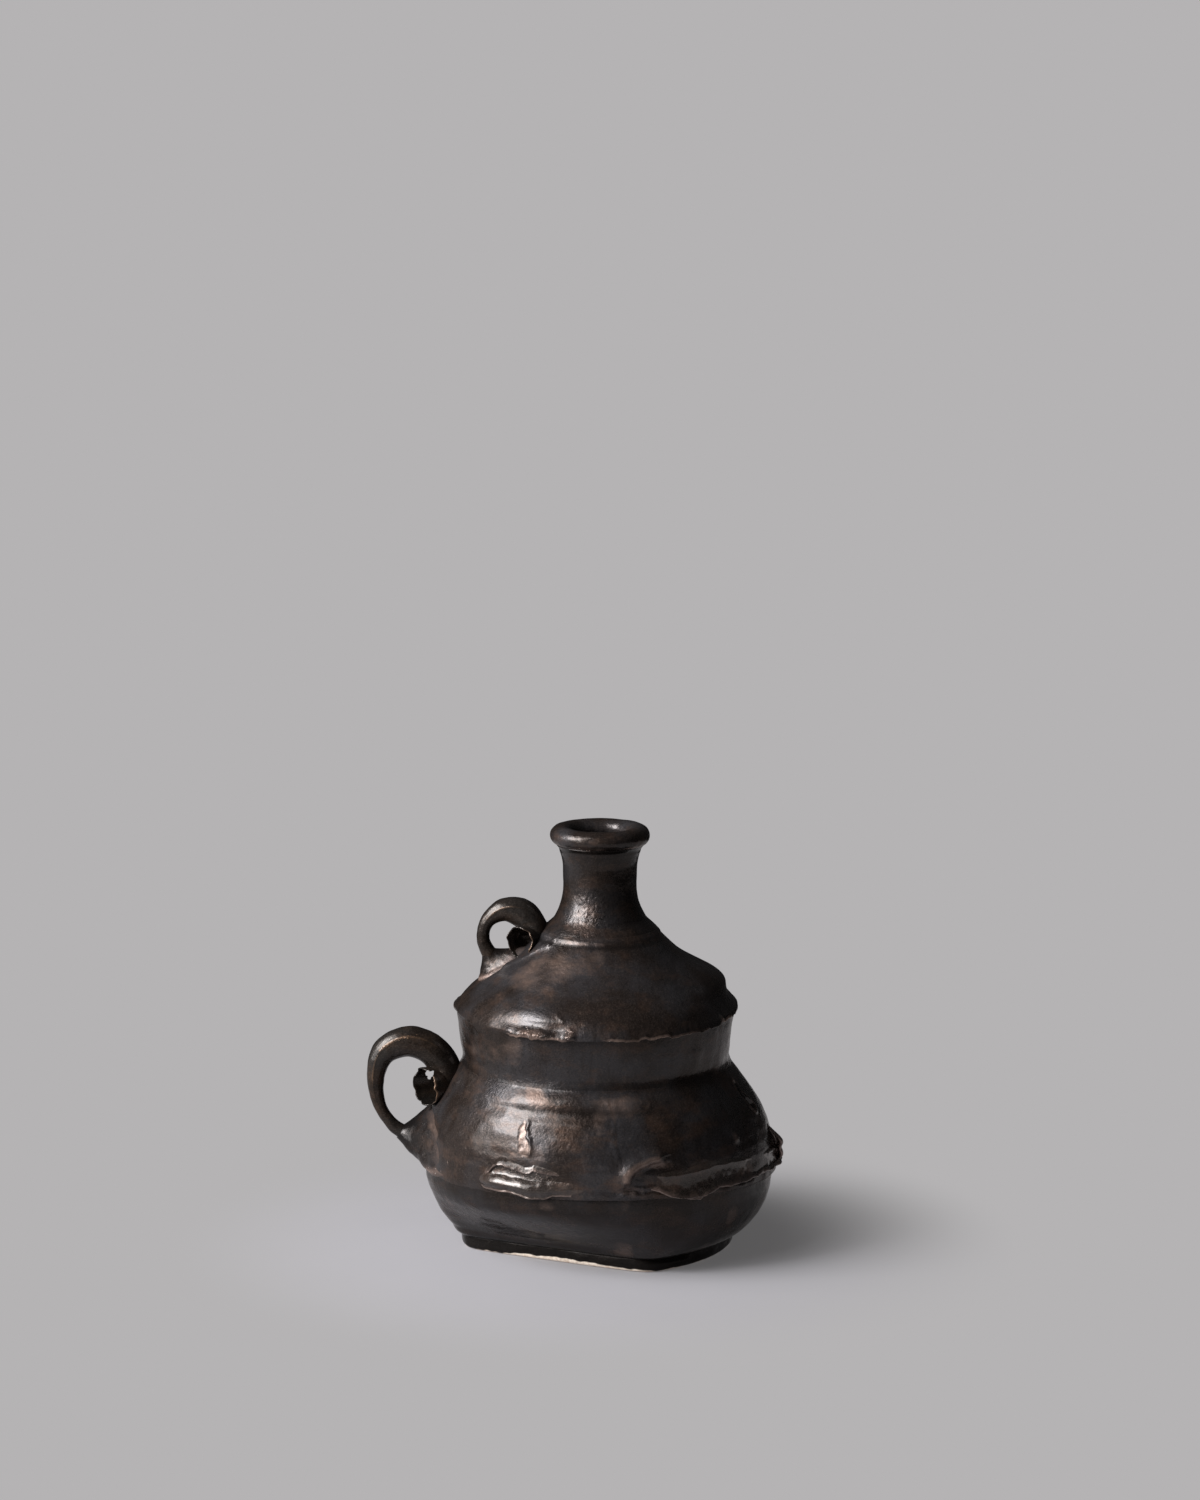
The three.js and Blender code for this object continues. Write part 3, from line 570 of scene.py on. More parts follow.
def bake(piece, modifier):
    """The piece keeps what its modifier made as a plain mesh, and the modifier goes."""
    made = bpy.data.meshes.new_from_object(piece.evaluated_get(bpy.context.evaluated_depsgraph_get()))
    piece.modifiers.remove(modifier)
    piece.data = made
    made.name = piece.name


def crumbs(name, bed, size, per_square_mm, seed, glaze):
    """Crumbs stuck on a piece where it is marked for them, as one plain mesh."""
    piece = bpy.data.objects.new(name, bed.data.copy())
    bpy.context.scene.collection.objects.link(piece)
    scatter = piece.modifiers.new("crumbs", "NODES")
    scatter.node_group = crumb_tree
    values = {
        "Crumb size": size * MM, "Crumbs per square metre": per_square_mm / MM ** 2,
        "Seed": seed, "Glaze": glaze,
    }
    for socket in crumb_tree.interface.items_tree:
        if socket.name in values:
            scatter[socket.identifier] = values[socket.name]
    bake(piece, scatter)
    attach(piece, "root")


def radius_at(profile, z):
    """Radius of an outline at a height."""
    return np.interp(z, profile[:, 1], profile[:, 0])


def pressed_strip(name, theta, section, proud, thin, rough):
    """A strip on the wall: its section is a row of (height, proud of the wall) arrays along the strip."""
    controls = np.stack([np.stack(np.broadcast_arrays(high, out), -1) for high, out in section])
    lines = bend_line(controls, STRIP_ROWS)
    high, out = lines[..., 0].T, lines[..., 1].T
    angle, proud = np.radians(theta)[:, None], proud[:, None]
    wall = radius_at(lower_walls, high)
    flat = formed(wall, angle, high)
    pits = spread(rough, STRIP_ROWS)
    uneven = 0.14 * lump(flat, 5, 14) + (0.08 + 0.3 * pits) * lump(flat, 1.7, 15)
    raised = smooth(out, 0, 1)
    out = np.where(out > 0, out * proud, out) - 0.9 * (1 - proud)
    wavy = high + 0.25 * raised * lump(flat, 2.6, 16)
    loops = formed(wall + out + raised * uneven * proud, angle, wavy)
    crumb = (pits > 0.8) * smooth(proud, 0.3, 0.8)
    return skin(name, loops, thin=spread(thin, STRIP_ROWS), rough=pits, crumb=crumb)


def edge_line(turns, points):
    """Height of a torn edge round the pot, from a few (turn, height) points."""
    return np.interp(turns, *np.transpose(points))


left_turn = np.arange(-46, 4, 0.22)
flap = edge_line(left_turn, [
    (-46, 32.8), (-41, 34), (-38.4, 36), (-36.4, 38.2), (-34.6, 39.4), (-32.4, 39.6), (-29.8, 38.8),
    (-27.2, 38), (-24.8, 37), (-23, 37.2), (-21.8, 38.3), (-19, 37.6), (-12, 36.8), (-5, 36),
])
roll = edge_line(left_turn, [
    (-46, 32), (-41, 32.8), (-37.5, 33.5), (-31.8, 33.4), (-26.5, 32.8), (-23.2, 32.2), (-16.8, 31.8),
    (-7.5, 32.2),
])
crimp = edge_line(left_turn, [
    (-46, 31.2), (-43, 30.4), (-40.4, 29.4), (-35.8, 29.2), (-32, 29), (-28.5, 28.8), (-25, 28),
    (-23.5, 27.5), (-20, 27.2), (-18.8, 26.8), (-16.8, 27.8), (-15.2, 28.8), (-10, 28.4), (-5, 28.2),
])
flap_out = 0.35 + 0.65 * swell(left_turn, -34, 8)
crimp_out = 1 - smooth(left_turn, -20, -13)
fall = roll - crimp
left_section = [
    (flap + 2.4, -0.4), (flap + 1.4, 0.5 * flap_out), (flap + 0.3, 1.2 * flap_out),
    (flap - 0.5, 1.5 * flap_out), (flap - 0.9, 1.0 * flap_out), (flap - 0.8, 0.2),
    (roll + 2.1, 0.3), (roll + 1.4, 1.0), (roll + 0.6, 1.8),
    (roll - 0.08 * fall, 2.4), (roll - 0.3 * fall, 2.65), (roll - 0.5 * fall, 2.4),
    (roll - 0.65 * fall, 1.85), (roll - 0.8 * fall, 1.5), (crimp + 0.25, 1.4 + 0.2 * crimp_out),
    (crimp, 1.35 + 0.2 * crimp_out), (crimp - 0.1, 0.7), (crimp + 0.4, -0.6),
]
left_proud = smooth(left_turn, -46, -34.5) * (1 - 0.5 * smooth(left_turn, -24, -12))
left_proud = left_proud * (1 - smooth(left_turn, -14, 3))
# Browner than the walls, and wet: the glaze lies thick on the pressed clay and shines more there
strip_glaze = bronze_glaze(
    "copper_brown_glaze",
    dark="#352d29", cloudy="#443f3d", brown="#52423a", brown_share=0.9, broken="#87746d", coat=0.7,
)
left_strip = pressed_strip(
    "seam_strip_left_crimped", left_turn, left_section, left_proud,
    [0, 0.1, 0.3, 0.45, 0.3, 0.2, 0.2, 0.2, 0.2, 0.2, 0.2, 0.2, 0.1, 0.2, 0.6, 0.5, 0.2, 0],
    [0, 0.2, 0.6, 1, 1, 1, 1, 0.5, 0.1, 0, 0, 0, 0, 0.1, 0.3, 0.3, 0.2, 0],
)
fire(left_strip, "seam_strip_left", strip_glaze)
crumbs(
    "seam_strip_left_crumbs", left_strip, size=0.25, per_square_mm=0.2, seed=1,
    glaze=strip_glaze,
)

right_turn = np.arange(8, 98, 0.25)
brow = edge_line(right_turn, [
    (8, 36), (25.8, 35.8), (29.5, 36.2), (35.2, 37), (41.5, 37.8), (48.2, 37.8), (57.5, 37.2), (66, 36.4),
    (76, 35.6), (98, 34.6),
])
hem = edge_line(right_turn, [
    (8, 33.5), (9.8, 33), (11.5, 32.2), (13.8, 31.4), (17, 30.6), (19.2, 29.8), (21, 28.8), (23.2, 28),
    (28.5, 27.2), (33.8, 26.5), (35.8, 28), (38.5, 29), (41, 29.2), (46.2, 29.2), (51, 29.8), (56.5, 30),
    (63, 30), (76, 29.8), (98, 29.6),
])
hem_line = right_turn[:, None] * (MM_PER_DEGREE, 0, 0)
hem = hem + 0.45 * lump(hem_line, 4, 58) + 0.12 * lump(hem_line, 1.7, 59)
right_section = [
    (brow + 3.2, -0.5), (brow + 1.5, 0.15), (brow + 0.4, 0.75), (brow - 0.3, 0.85), (brow - 1.3, 0.5),
    (brow * 0.6 + hem * 0.4, 0.4), (brow * 0.3 + hem * 0.7, 0.7), (hem + 1.3, 1.2), (hem + 0.4, 1.7),
    (hem - 0.05, 1.75), (hem - 0.3, 1.4), (hem - 0.05, 0.7), (hem + 0.5, -0.6),
]
right_proud = smooth(right_turn, 9, 27) * (1 - smooth(right_turn, 90, 98))
right_proud = right_proud * (1 - 0.3 * swell(right_turn, 64, 14) + 0.4 * smooth(right_turn, 76, 84))
right_strip = pressed_strip(
    "seam_strip_right_pressed", right_turn, right_section, right_proud,
    [0, 0, 0.25, 0.3, 0.1, 0.1, 0.2, 0.3, 0.45, 0.6, 0.3, 0.2, 0],
    [0, 0, 0, 0.1, 0.2, 0.4, 0.5, 0.5, 0.5, 0.5, 0.3, 0.2, 0],
)
fire(right_strip, "seam_strip_right", strip_glaze)

# Curled lug
# The right strip ends in a thin flap of clay that curls forward off the shoulder's right side.
# The glaze ran into the hollow behind the curl and broke red brown along its edge.
LUG_ANGLE = 86
LUG_TOP = 49
LUG_BOTTOM = 27.4
LUG_MIDDLE = 38
LUG_LOOPS = 72
LUG_ROWS = 64
lug_levels = np.linspace(LUG_TOP, LUG_BOTTOM, LUG_LOOPS)[:, None]
lug_size = 0.75 * swell(lug_levels, 31.6, 4.2) + 0.8 * swell(lug_levels, 36.8, 6.4)
lug_size = np.minimum(lug_size + 0.35 * swell(lug_levels, 41, 8), 1)
# Section from its back over the curl to its front: along the wall and out from it
lug_controls = np.array([
    (-8, -0.8), (-5.5, 0.6), (-2.5, 2.3), (0.8, 3.7), (2.9, 3.9), (3.7, 3.2), (3.3, 2.6), (2.2, 2.5),
    (1.2, 1.7), (1.6, 0.8), (3.6, 0.5), (6.2, -0.8),
])
lug_along, lug_out = bend_line(lug_controls, LUG_ROWS).T
lug_along = lug_along * (0.45 + 0.55 * lug_size)
lug_out = np.where(lug_out > 0, lug_out * lug_size, lug_out) - 0.8 * (1 - lug_size)
lug_theta = np.radians(LUG_ANGLE - lug_along / MM_PER_DEGREE - 0.25 * (lug_levels - LUG_MIDDLE))
lug_wall = radius_at(lower_walls, lug_levels)
lug_flat = formed(lug_wall, lug_theta, lug_levels)
lug_rough = 0.3 * lump(lug_flat, 3.2, 17) + 0.12 * lump(lug_flat, 1.5, 18)
lug_points = formed(lug_wall + lug_out + lug_rough * smooth(lug_out, 0, 1), lug_theta, lug_levels)
lug_thin = np.interp(
    np.linspace(0, 1, LUG_ROWS), [0, 0.3, 0.42, 0.5, 0.62, 0.8, 1], [0, 0.3, 0.9, 1, 0.9, 0.6, 0]
)
lug = skin("lower_right_lug_curl", lug_points, thin=lug_thin)
fire(lug, "lower_right_lug", strip_glaze)

# Waist band
# A short thrown ring between the lobes, narrow at the waist and wider under the dome's rim.
# It faces down a little, so it shows the pale floor as a grey sheen, with thin runs down it.
band_profile = outline(
    (46.2, 65.2), (1.4, 5.4), (0.4, 6.2), (48.7, 84), count=72, lap_start=0.045, lap_end=0.13
)
dome_profile = outline((50.3, RIM_HEIGHT), (-1.3, 9.5), (-6.5, 10.5), (20.5, DOME_TOP_HEIGHT), count=124)


def smeared_radius(z):
    """Outline where the dome's rim was smeared on the band: the band's wall, going over to the dome's."""
    low = radius_at(band_profile, z)
    return low + (radius_at(dome_profile, z) - low) * smooth(z, 77, 89)


z = band_profile[:, 1]
band_base = formed(band_profile[:, 0], ROUND, z)
smeared_left = smooth(turn, -90, -80) * (1 - smooth(turn, -44, -34))
band_relief = hand(band_base) + 0.02 * throwing_rings(band_base, z, 5) + waist_fillet(z - CREASE_HEIGHT)
band_relief += smeared_left * (smeared_radius(z) - band_profile[:, 0] - 0.6 * smooth(z, 84.8, 86.4))
# Thin runs of glaze down its right side, and soft dents from the fingers
band_relief += 0.12 * lump(band_base * (1, 1, 0.12), 3, 19) * smooth(turn, -20, 30) * facing
band_relief += 0.5 * lump(band_base * (1, 1, 0.5), 16, 20) * swell(z, 75, 9)
band_thin = 0.3 * smooth(lump(band_base, 10, 8), 0.2, 0.8)
band_thin += 0.25 * smooth(turn, 0, -40) * facing * swell(z, 75, 10)
band_pool = 0.2 * (1 - smooth(turn, 15, 55)) * facing + 0.3 * swell(z, 66, 2.5)
band_rough = 0.5 * smooth(turn, 5, -35) * facing * swell(z, 76, 12)
band = thrown_piece(
    "waist_band_ring", band_profile, BODY_WALL, band_relief, thin=band_thin, pool=band_pool, rough=band_rough
)
fire(band, "waist_band", body_glaze)

# Upper dome
# A thrown dome set over the band like a lid, its thin rim left torn and overhanging.
# At the front left the rim was patched with crumbs of clay round a smooth dent where the glaze pooled.
z = dome_profile[:, 1]
near_rim = 1 - smooth(z, RIM_HEIGHT, RIM_HEIGHT + 4.5)
dome_base = formed(dome_profile[:, 0], ROUND, z)
dome_relief = hand(dome_base) * (1 - smooth(z, 110, 113)) + 0.03 * throwing_rings(dome_base, z, 3.6)
# Soft ring above the rim at the front left, a groove under it, and a rolled ring where the neck stands
dome_ring = 0.2 + 0.8 * swell(turn, -30, 24)
dome_relief += dome_ring * (0.8 * swell(z, 91.8, 4.6) - 0.5 * swell(z, 87.4, 2.2))
dome_relief += (1 - smeared_left) * dome_ring * 0.3 * swell(z, 85.2, 1.8)
dome_relief -= 0.35 * swell(z, 113.6, 1.6) + 0.2 * swell(z, 111.2, 1.3) * (0.6 + 0.6 * lump(dome_base, 6, 55))
# Hollow between the hump and the rim on the right side
dome_relief -= 0.7 * swell(z, 91.6, 4.4) * swell(turn, 90, 40)
# Rim smeared down on the band at the left, torn along the front, and turned up at the right
rim_base = dome_base * (1, 1, 0)
rim_out = (0.15 + 0.2 * lump(rim_base, 6, 21)) * (1 - smeared_left) - 0.4 * swell(turn, 88, 40)
dome_relief += rim_out * (1 - smooth(z, RIM_HEIGHT, RIM_HEIGHT + 3))
rim_under = 0.7 * (1 - smooth(z, RIM_HEIGHT, RIM_HEIGHT + 1.3))
dome_relief += smeared_left * (smeared_radius(z) - dome_profile[:, 0] - rim_under)
rim_torn = 0.4 * lump(rim_base, 3.2, 22) + 0.35 * lump(rim_base, 1.3, 23)
rim_lift = 2.2 * swell(turn, 92, 46) + 1.6 * swell(turn, -94, 16) + rim_torn * (1 - smeared_left)
# Tear in the rim at the right
rim_lift = rim_lift + 1.6 * ridge(turn - 61, 1.1)
# Crumbs, the pooled dent and the blob to its right
crumb_place = oval(z, (-27, 85.2), (6.5, 1.5)) + oval(z, (-11, 85.4), (2.2, 1.6))
crumbled = np.clip(crumb_place, 0, 1)
crumb_relief = crumb_place * (0.8 + 0.6 * lump(dome_base, 1.7, 24) + 0.35 * lump(dome_base, 0.9, 45))
dent = oval(z, (-17.3, 85.8), (3.1, 1.9))
dome_relief += crumb_relief - 0.7 * dent
# Smear of clay from the neck's foot down to the small handle's root
smear_line = [(-50, 110.5), (-58, 109), (-64, 106.4), (-71, 104), (-78, 101.5)]
smear_away = trace(smear_line, turn, z, 0.5)[0]
dome_relief += (0.8 + 0.4 * lump(dome_base, 2.5, 48)) * ridge(smear_away, 1.3)
scratch_away = trace([(-18, 91.8), (-14.3, 89.8)], turn, z)[0]
dome_relief += 0.22 * ridge(scratch_away, 0.7)

# The glaze broke thin along the torn rim, on the crumbs and in brown patches, and pooled in the dent
rim_bared = np.clip(0.65 + 0.7 * lump(dome_base, 5, 25), 0, 1) * (1 - smeared_left)
dome_thin = 0.6 * crumbled + rim_bared * (1 - smooth(z, 83.8, 85))
dome_thin += 0.25 * smooth(lump(dome_base, 12, 8), 0.3, 0.8) + 0.3 * ridge(scratch_away, 0.8)
# Lighter and browner on the lit left of the dome: brown glaze there, with painted light on top.
dome_thin += 0.25 * swell(turn, -50, 35) * swell(z, 98, 14)
dome_thin += 0.3 * swell(z, 111.6, 1.2) * swell(turn, -20, 50)
dome_thin += 0.35 * swell(z, 104, 10) * swell(turn, -25, 50)
dome_pool = 0.5 * dent + 0.5 * swell(z, 110.4, 1.2)
dome_rough = crumbled + 0.6 * smooth(lump(dome_base, 8, 56), -0.1, 0.6) * swell(turn, -45, 55)
rim_crumbs = 0.7 * swell(turn, 0, 10) + 0.5 * swell(turn, 46, 20)
dome_crumb = crumbled + rim_crumbs * (1 - smooth(z, 83.6, 84.2))
dome = thrown_piece(
    "upper_dome_wall", dome_profile, BODY_WALL, dome_relief, near_rim * rim_lift,
    thin=np.clip(dome_thin, 0, 1), pool=dome_pool, rough=np.clip(dome_rough, 0, 1), crumb=dome_crumb,
)
fire(dome, "upper_dome", body_glaze)
crumbs(
    "upper_dome_crumbs", dome, size=0.3, per_square_mm=0.5, seed=2,
    glaze=strip_glaze,
)

# Neck tube
# A thrown tube, flared at its foot and under the lip, and smeared on to the dome with slip.
# Its left half is pitted and dragged by the tool, so the shine there breaks into sparks.
NECK_WALL = 3.6
NECK_RADIUS = 13
NECK_BOTTOM = 113.2
NECK_NARROW_FROM = 129
NECK_NARROW_TO = 134
NECK_TOP = 143.4
neck_profile = np.concatenate([
    outline((18.9, NECK_BOTTOM), (-3.3, 4.9), (0, 6.5), (NECK_RADIUS, NECK_NARROW_FROM), count=64)[:-1],
    outline(
        (NECK_RADIUS, NECK_NARROW_FROM), (0, 1.7), (0, 1.7), (NECK_RADIUS, NECK_NARROW_TO), count=16
    )[:-1],
    outline((NECK_RADIUS, NECK_NARROW_TO), (0, 4), (1.5, 2.1), (15.5, NECK_TOP), count=36),
])
z = neck_profile[:, 1]
neck_base = formed(neck_profile[:, 0], ROUND, z)
neck_rough = swell(turn, -18, 40) * swell(z, 122, 13) + 0.5 * swell(turn, -10, 70) * swell(z, 117, 7)
neck_relief = 0.6 * hand(neck_base) + 0.012 * throwing_rings(neck_base, z, 3.2)
neck_relief += neck_rough * (0.11 * lump(neck_base * (1, 1, 0.5), 1.8, 26) + 0.07 * lump(neck_base, 0.9, 27))
# Smeared out over the dome at its foot, and grooved where the lip sits
neck_relief += 1.5 * (1 - smooth(z, NECK_BOTTOM, 117.5)) - 0.2 * swell(z, 142, 1.2)
# The lit left half is lighter and browner: painted light, besides the copper broken in the pits.
neck_thin = 0.2 * neck_rough + 0.2 * smooth(turn, 20, -30) * facing * swell(z, 124, 20)
neck_pool = 0.35 + 0.4 * swell(z, 142.6, 1.4)
neck = thrown_piece(
    "neck_tube_wall", neck_profile, NECK_WALL, neck_relief, thin=neck_thin, pool=neck_pool, rough=neck_rough
)
fire(neck, "neck_tube", body_glaze)

# Lip roll
# A fat roll of clay laid round the mouth and pressed down on the neck, thicker on one side.
# The glaze gathers in the crease under it and breaks brown along its lower edge.
LIP_MIDDLE = 13.6
LIP_HALF_WIDTH = 3.8
LIP_HALF_HEIGHT = 3.5
LIP_HEIGHT = 146.5
LIP_ROWS = 64


def around(count):
    """Angles evenly round a full turn."""
    return np.linspace(0, 2 * np.pi, count, endpoint=False)


lip_turn = around(LIP_ROWS)
lip_flat = formed(LIP_MIDDLE, ROUND, np.full(LIP_ROWS, LIP_HEIGHT))
lip_uneven = 1 + 0.08 * lump(lip_flat, 12, 28) + 0.05 * lump(lip_flat, 4, 29)
lip_radius = LIP_MIDDLE + LIP_HALF_WIDTH * lip_uneven * np.cos(lip_turn)
lip_level = LIP_HEIGHT + LIP_HALF_HEIGHT * lip_uneven * np.sin(lip_turn) + 0.3 * lump(lip_flat, 14, 30)
lip_points = formed(lip_radius, ROUND, lip_level)
lip_relief = 0.12 * lump(lip_points, 3.5, 31) + 0.06 * lump(lip_points, 1.5, 32)
lip_points = formed(lip_radius + lip_relief * np.sign(np.cos(lip_turn)), ROUND, lip_level)
lip_side = degrees(lip_turn)
lip = skin(
    "lip_roll_ring", lip_points, ring=True,
    thin=0.85 * swell(lip_side, -48, 26) * (0.6 + 0.4 * lump(lip_points, 4, 33)),
    pool=0.5 * swell(lip_side, -85, 24),
    crumb=swell(lip_side, -52, 12) * swell(turn, -14, 34),
)
fire(lip, "lip_roll", body_glaze)
crumbs(
    "lip_roll_crumbs", lip, size=0.25, per_square_mm=1.3, seed=3,
    glaze=strip_glaze,
)

# Large handle
# A slab rolled into a hollow horn and curled like a fern: thin where it is luted on the shoulder,
# fat past the top of its loop, and open at its end, where the thin wall is torn and has a hole in it.
LEFT_SIDE = math.radians(-90)
TO_FRONT = np.array([0.0, -1.0, 0.0])
BEND_STEPS = 400
HORN_STEPS = 170
HORN_SIDES = 72
HOLE_SIDES = 28
band_seen = (band_profile[:, 1] > 66.8) & (band_profile[:, 1] < 83)
outer_walls = np.concatenate([lower_walls, band_profile[band_seen], dome_profile])


def wall_at(theta, z):
    """A place on the outside of the vase."""
    return formed(radius_at(outer_walls, z), theta, z)


def from_wall(anchor, steps):
    """Points of a handle's path: out to the left of a place on the wall, up from it, and to the front."""
    return [(anchor[0] - out, -forward, anchor[2] + up) for out, up, forward in steps]


def unit(vectors):
    """Directions of length one."""
    return vectors / np.linalg.norm(vectors, axis=-1, keepdims=True)


def even_path(points, count):
    """Points, directions and share of the length, evenly along the bent line."""
    line = bend_line(np.array(points, float), BEND_STEPS)
    length = np.append(0, np.cumsum(np.linalg.norm(np.diff(line, axis=0), axis=1)))
    share = np.linspace(0, 1, count)
    path = np.stack([np.interp(share * length[-1], length, line[:, axis]) for axis in range(3)], -1)
    return path, unit(np.gradient(path, axis=0)), share[:, None], length[-1]


def curled_horn(name, points, strap, fat, mouth, wall, bore, seam_from, seam_to):
    """Loops from the horn's root along its outside to the torn mouth, and back down inside it."""
    path, along, share, length = even_path(points, HORN_STEPS)
    across = unit(TO_FRONT - along * (along @ TO_FRONT)[:, None])
    third = np.cross(along, across)
    radius = strap + (fat - strap) * smooth(share, 0.3, 0.7) + (mouth - fat) * smooth(share, 0.8, 1)
    radius = radius + 0.3 * strap * (1 - smooth(share, 0.1, 0.32))
    phi = around(HORN_SIDES)
    spokes = np.cos(phi)[:, None] * across[:, None, :] + np.sin(phi)[:, None] * third[:, None, :]
    rim = path[:, None] + spokes * radius[..., None]
    uneven = 0.22 * lump(rim, 7, 34) + 0.12 * lump(rim, 3, 35) + 0.05 * lump(rim, 1.4, 36)
    # The slab's edge laps over along the horn as a beaded seam, and the mouth is torn
    seam_angle = -0.35 + 0.2 * np.sin(6 * share)
    lap = ridge(np.angle(np.exp(1j * (phi - seam_angle))), 0.13)
    lap = lap * swell(share, (seam_from + seam_to) / 2, (seam_to - seam_from) / 2) ** 0.5
    beads = 0.75 + 0.35 * lump(rim, 1.5, 37)
    torn = 1.1 * lump(rim[-1:], 4, 38) + 0.8 * lump(rim[-1:], 1.6, 39)
    stretch = along[:, None] * (torn * smooth(share, 0.93, 1))[..., None]
    outside = path[:, None] + spokes * (radius + uneven + 0.35 * lap * beads)[..., None] + stretch
    # The wall thins out to its torn edge, and the bore closes softly at its bottom
    inside_from = 1 - bore / length
    picked = np.flatnonzero(share >= inside_from)[::-1]
    thickness = wall - (wall - 0.5) * smooth(share, inside_from, 1)
    thickness = thickness + 0.5 * np.clip(lump(rim, 2.4, 46), 0, 1) * swell(share, 0.93, 0.065)
    closing = np.sqrt(smooth(share, inside_from - 0.004, inside_from + 0.06))
    inside = path[:, None] + spokes * ((radius + uneven - thickness) * closing)[..., None] + stretch
    lip_row = (outside[-1] + inside[-1]) / 2 + along[-1] * 0.15
    loops = np.concatenate([outside, lip_row[None], inside[picked]])
    # Copper on the seam where the glaze broke thin; painted highlight on the lit side of the torn edge;
    # painted shade on its shaded side near the mouth and inside the bore
    lit_side = ((1 + np.cos(phi)) / 2) ** 2
    edge = smooth(share, 0.985, 1) * lit_side
    shaded = 0.75 * smooth(share, 0.72, 0.86) * (0.5 - 0.5 * np.sin(phi)) * (1 - edge)
    within = np.ones((len(picked), HORN_SIDES))
    nothing = np.zeros((1, HORN_SIDES))
    thin = np.concatenate([0.45 * lap + 0.6 * edge, 0.6 * lit_side[None], 0.3 * within])
    pool = np.concatenate([shaded, nothing, 0.55 * within])
    crumb = np.concatenate([lap * swell(share, 0.62, 0.12), nothing, 0 * within])
    return skin(name, loops, thin=np.clip(thin, 0, 1), pool=pool, crumb=crumb), path, along


def pierce(piece, middle, direction, size, reach):
    """A torn hole through a thin wall: an uneven plug of that size is cut out of the piece."""
    direction = unit(np.array(direction, float))
    side = unit(np.cross(direction, (1.0, 0.2, 0.1)))
    up = np.cross(direction, side)
    angle = around(HOLE_SIDES)
    spokes = np.cos(angle)[:, None] * side + np.sin(angle)[:, None] * up
    ragged = 1 + 0.22 * np.sin(3 * angle + 1) + 0.14 * np.sin(5 * angle) + 0.08 * np.sin(9 * angle + 2)
    edge = np.array(middle) + size * ragged[:, None] * spokes
    plug = skin("plug", np.stack([edge, edge + direction * reach]))
    cut = piece.modifiers.new("hole", "BOOLEAN")
    cut.object = plug
    cut.operation = "DIFFERENCE"
    cut.solver = "MANIFOLD"
    bake(piece, cut)
    piece.data.materials.clear()
    piece.data.shade_smooth()
    bpy.data.objects.remove(plug)


large_root = wall_at(LEFT_SIDE, np.float64(33))
large_waist = wall_at(LEFT_SIDE, np.float64(65.8))
large_points = from_wall(large_root, [(-7.8, 0, 0), (11.7, 8.6, 0), (17.9, 22.5, 0)])
large_points += from_wall(large_waist, [
    (29.6, 2.3, 0), (20.6, 6.4, 0), (11.8, 2.6, 0), (8, -4.2, 0), (9.6, -8.7, 1.4), (14.9, -9, 5.6),
])
# Smoother and warmer than on the walls: dark brown, and copper along the lapped seam and the torn edge
horn_glaze = bronze_glaze(
    "horn_glaze", dark="#241e1a", cloudy="#2c2927", brown="#3a2d24", brown_share=0.7, broken="#806550"
)
large_horn, large_path, large_along = curled_horn(
    "large_handle_horn", large_points, strap=2.15, fat=5.5, mouth=6.9, wall=1.7, bore=15,
    seam_from=0.3, seam_to=0.86,
)
crumbs(
    "large_handle_seam_crumbs", large_horn, size=0.24, per_square_mm=0.9, seed=4,
    glaze=horn_glaze,
)
pierce(large_horn, middle=(-59.9, -14, 63.5), direction=(-0.04, 1, -0.241), size=1.4, reach=24)
fire(large_horn, "large_handle", horn_glaze)

# Wads of the large handle
# Soft clay smeared from the horn's thin root out over the shoulder, down to the seam, and a web of it
# between the back of the curl and the waist. Both are rough from the fingers, and the glaze on them is thin.
WAD_SIDES = 96
WAD_ROWS = 44
WEB_SIDES = 56
WEB_ROWS = 40


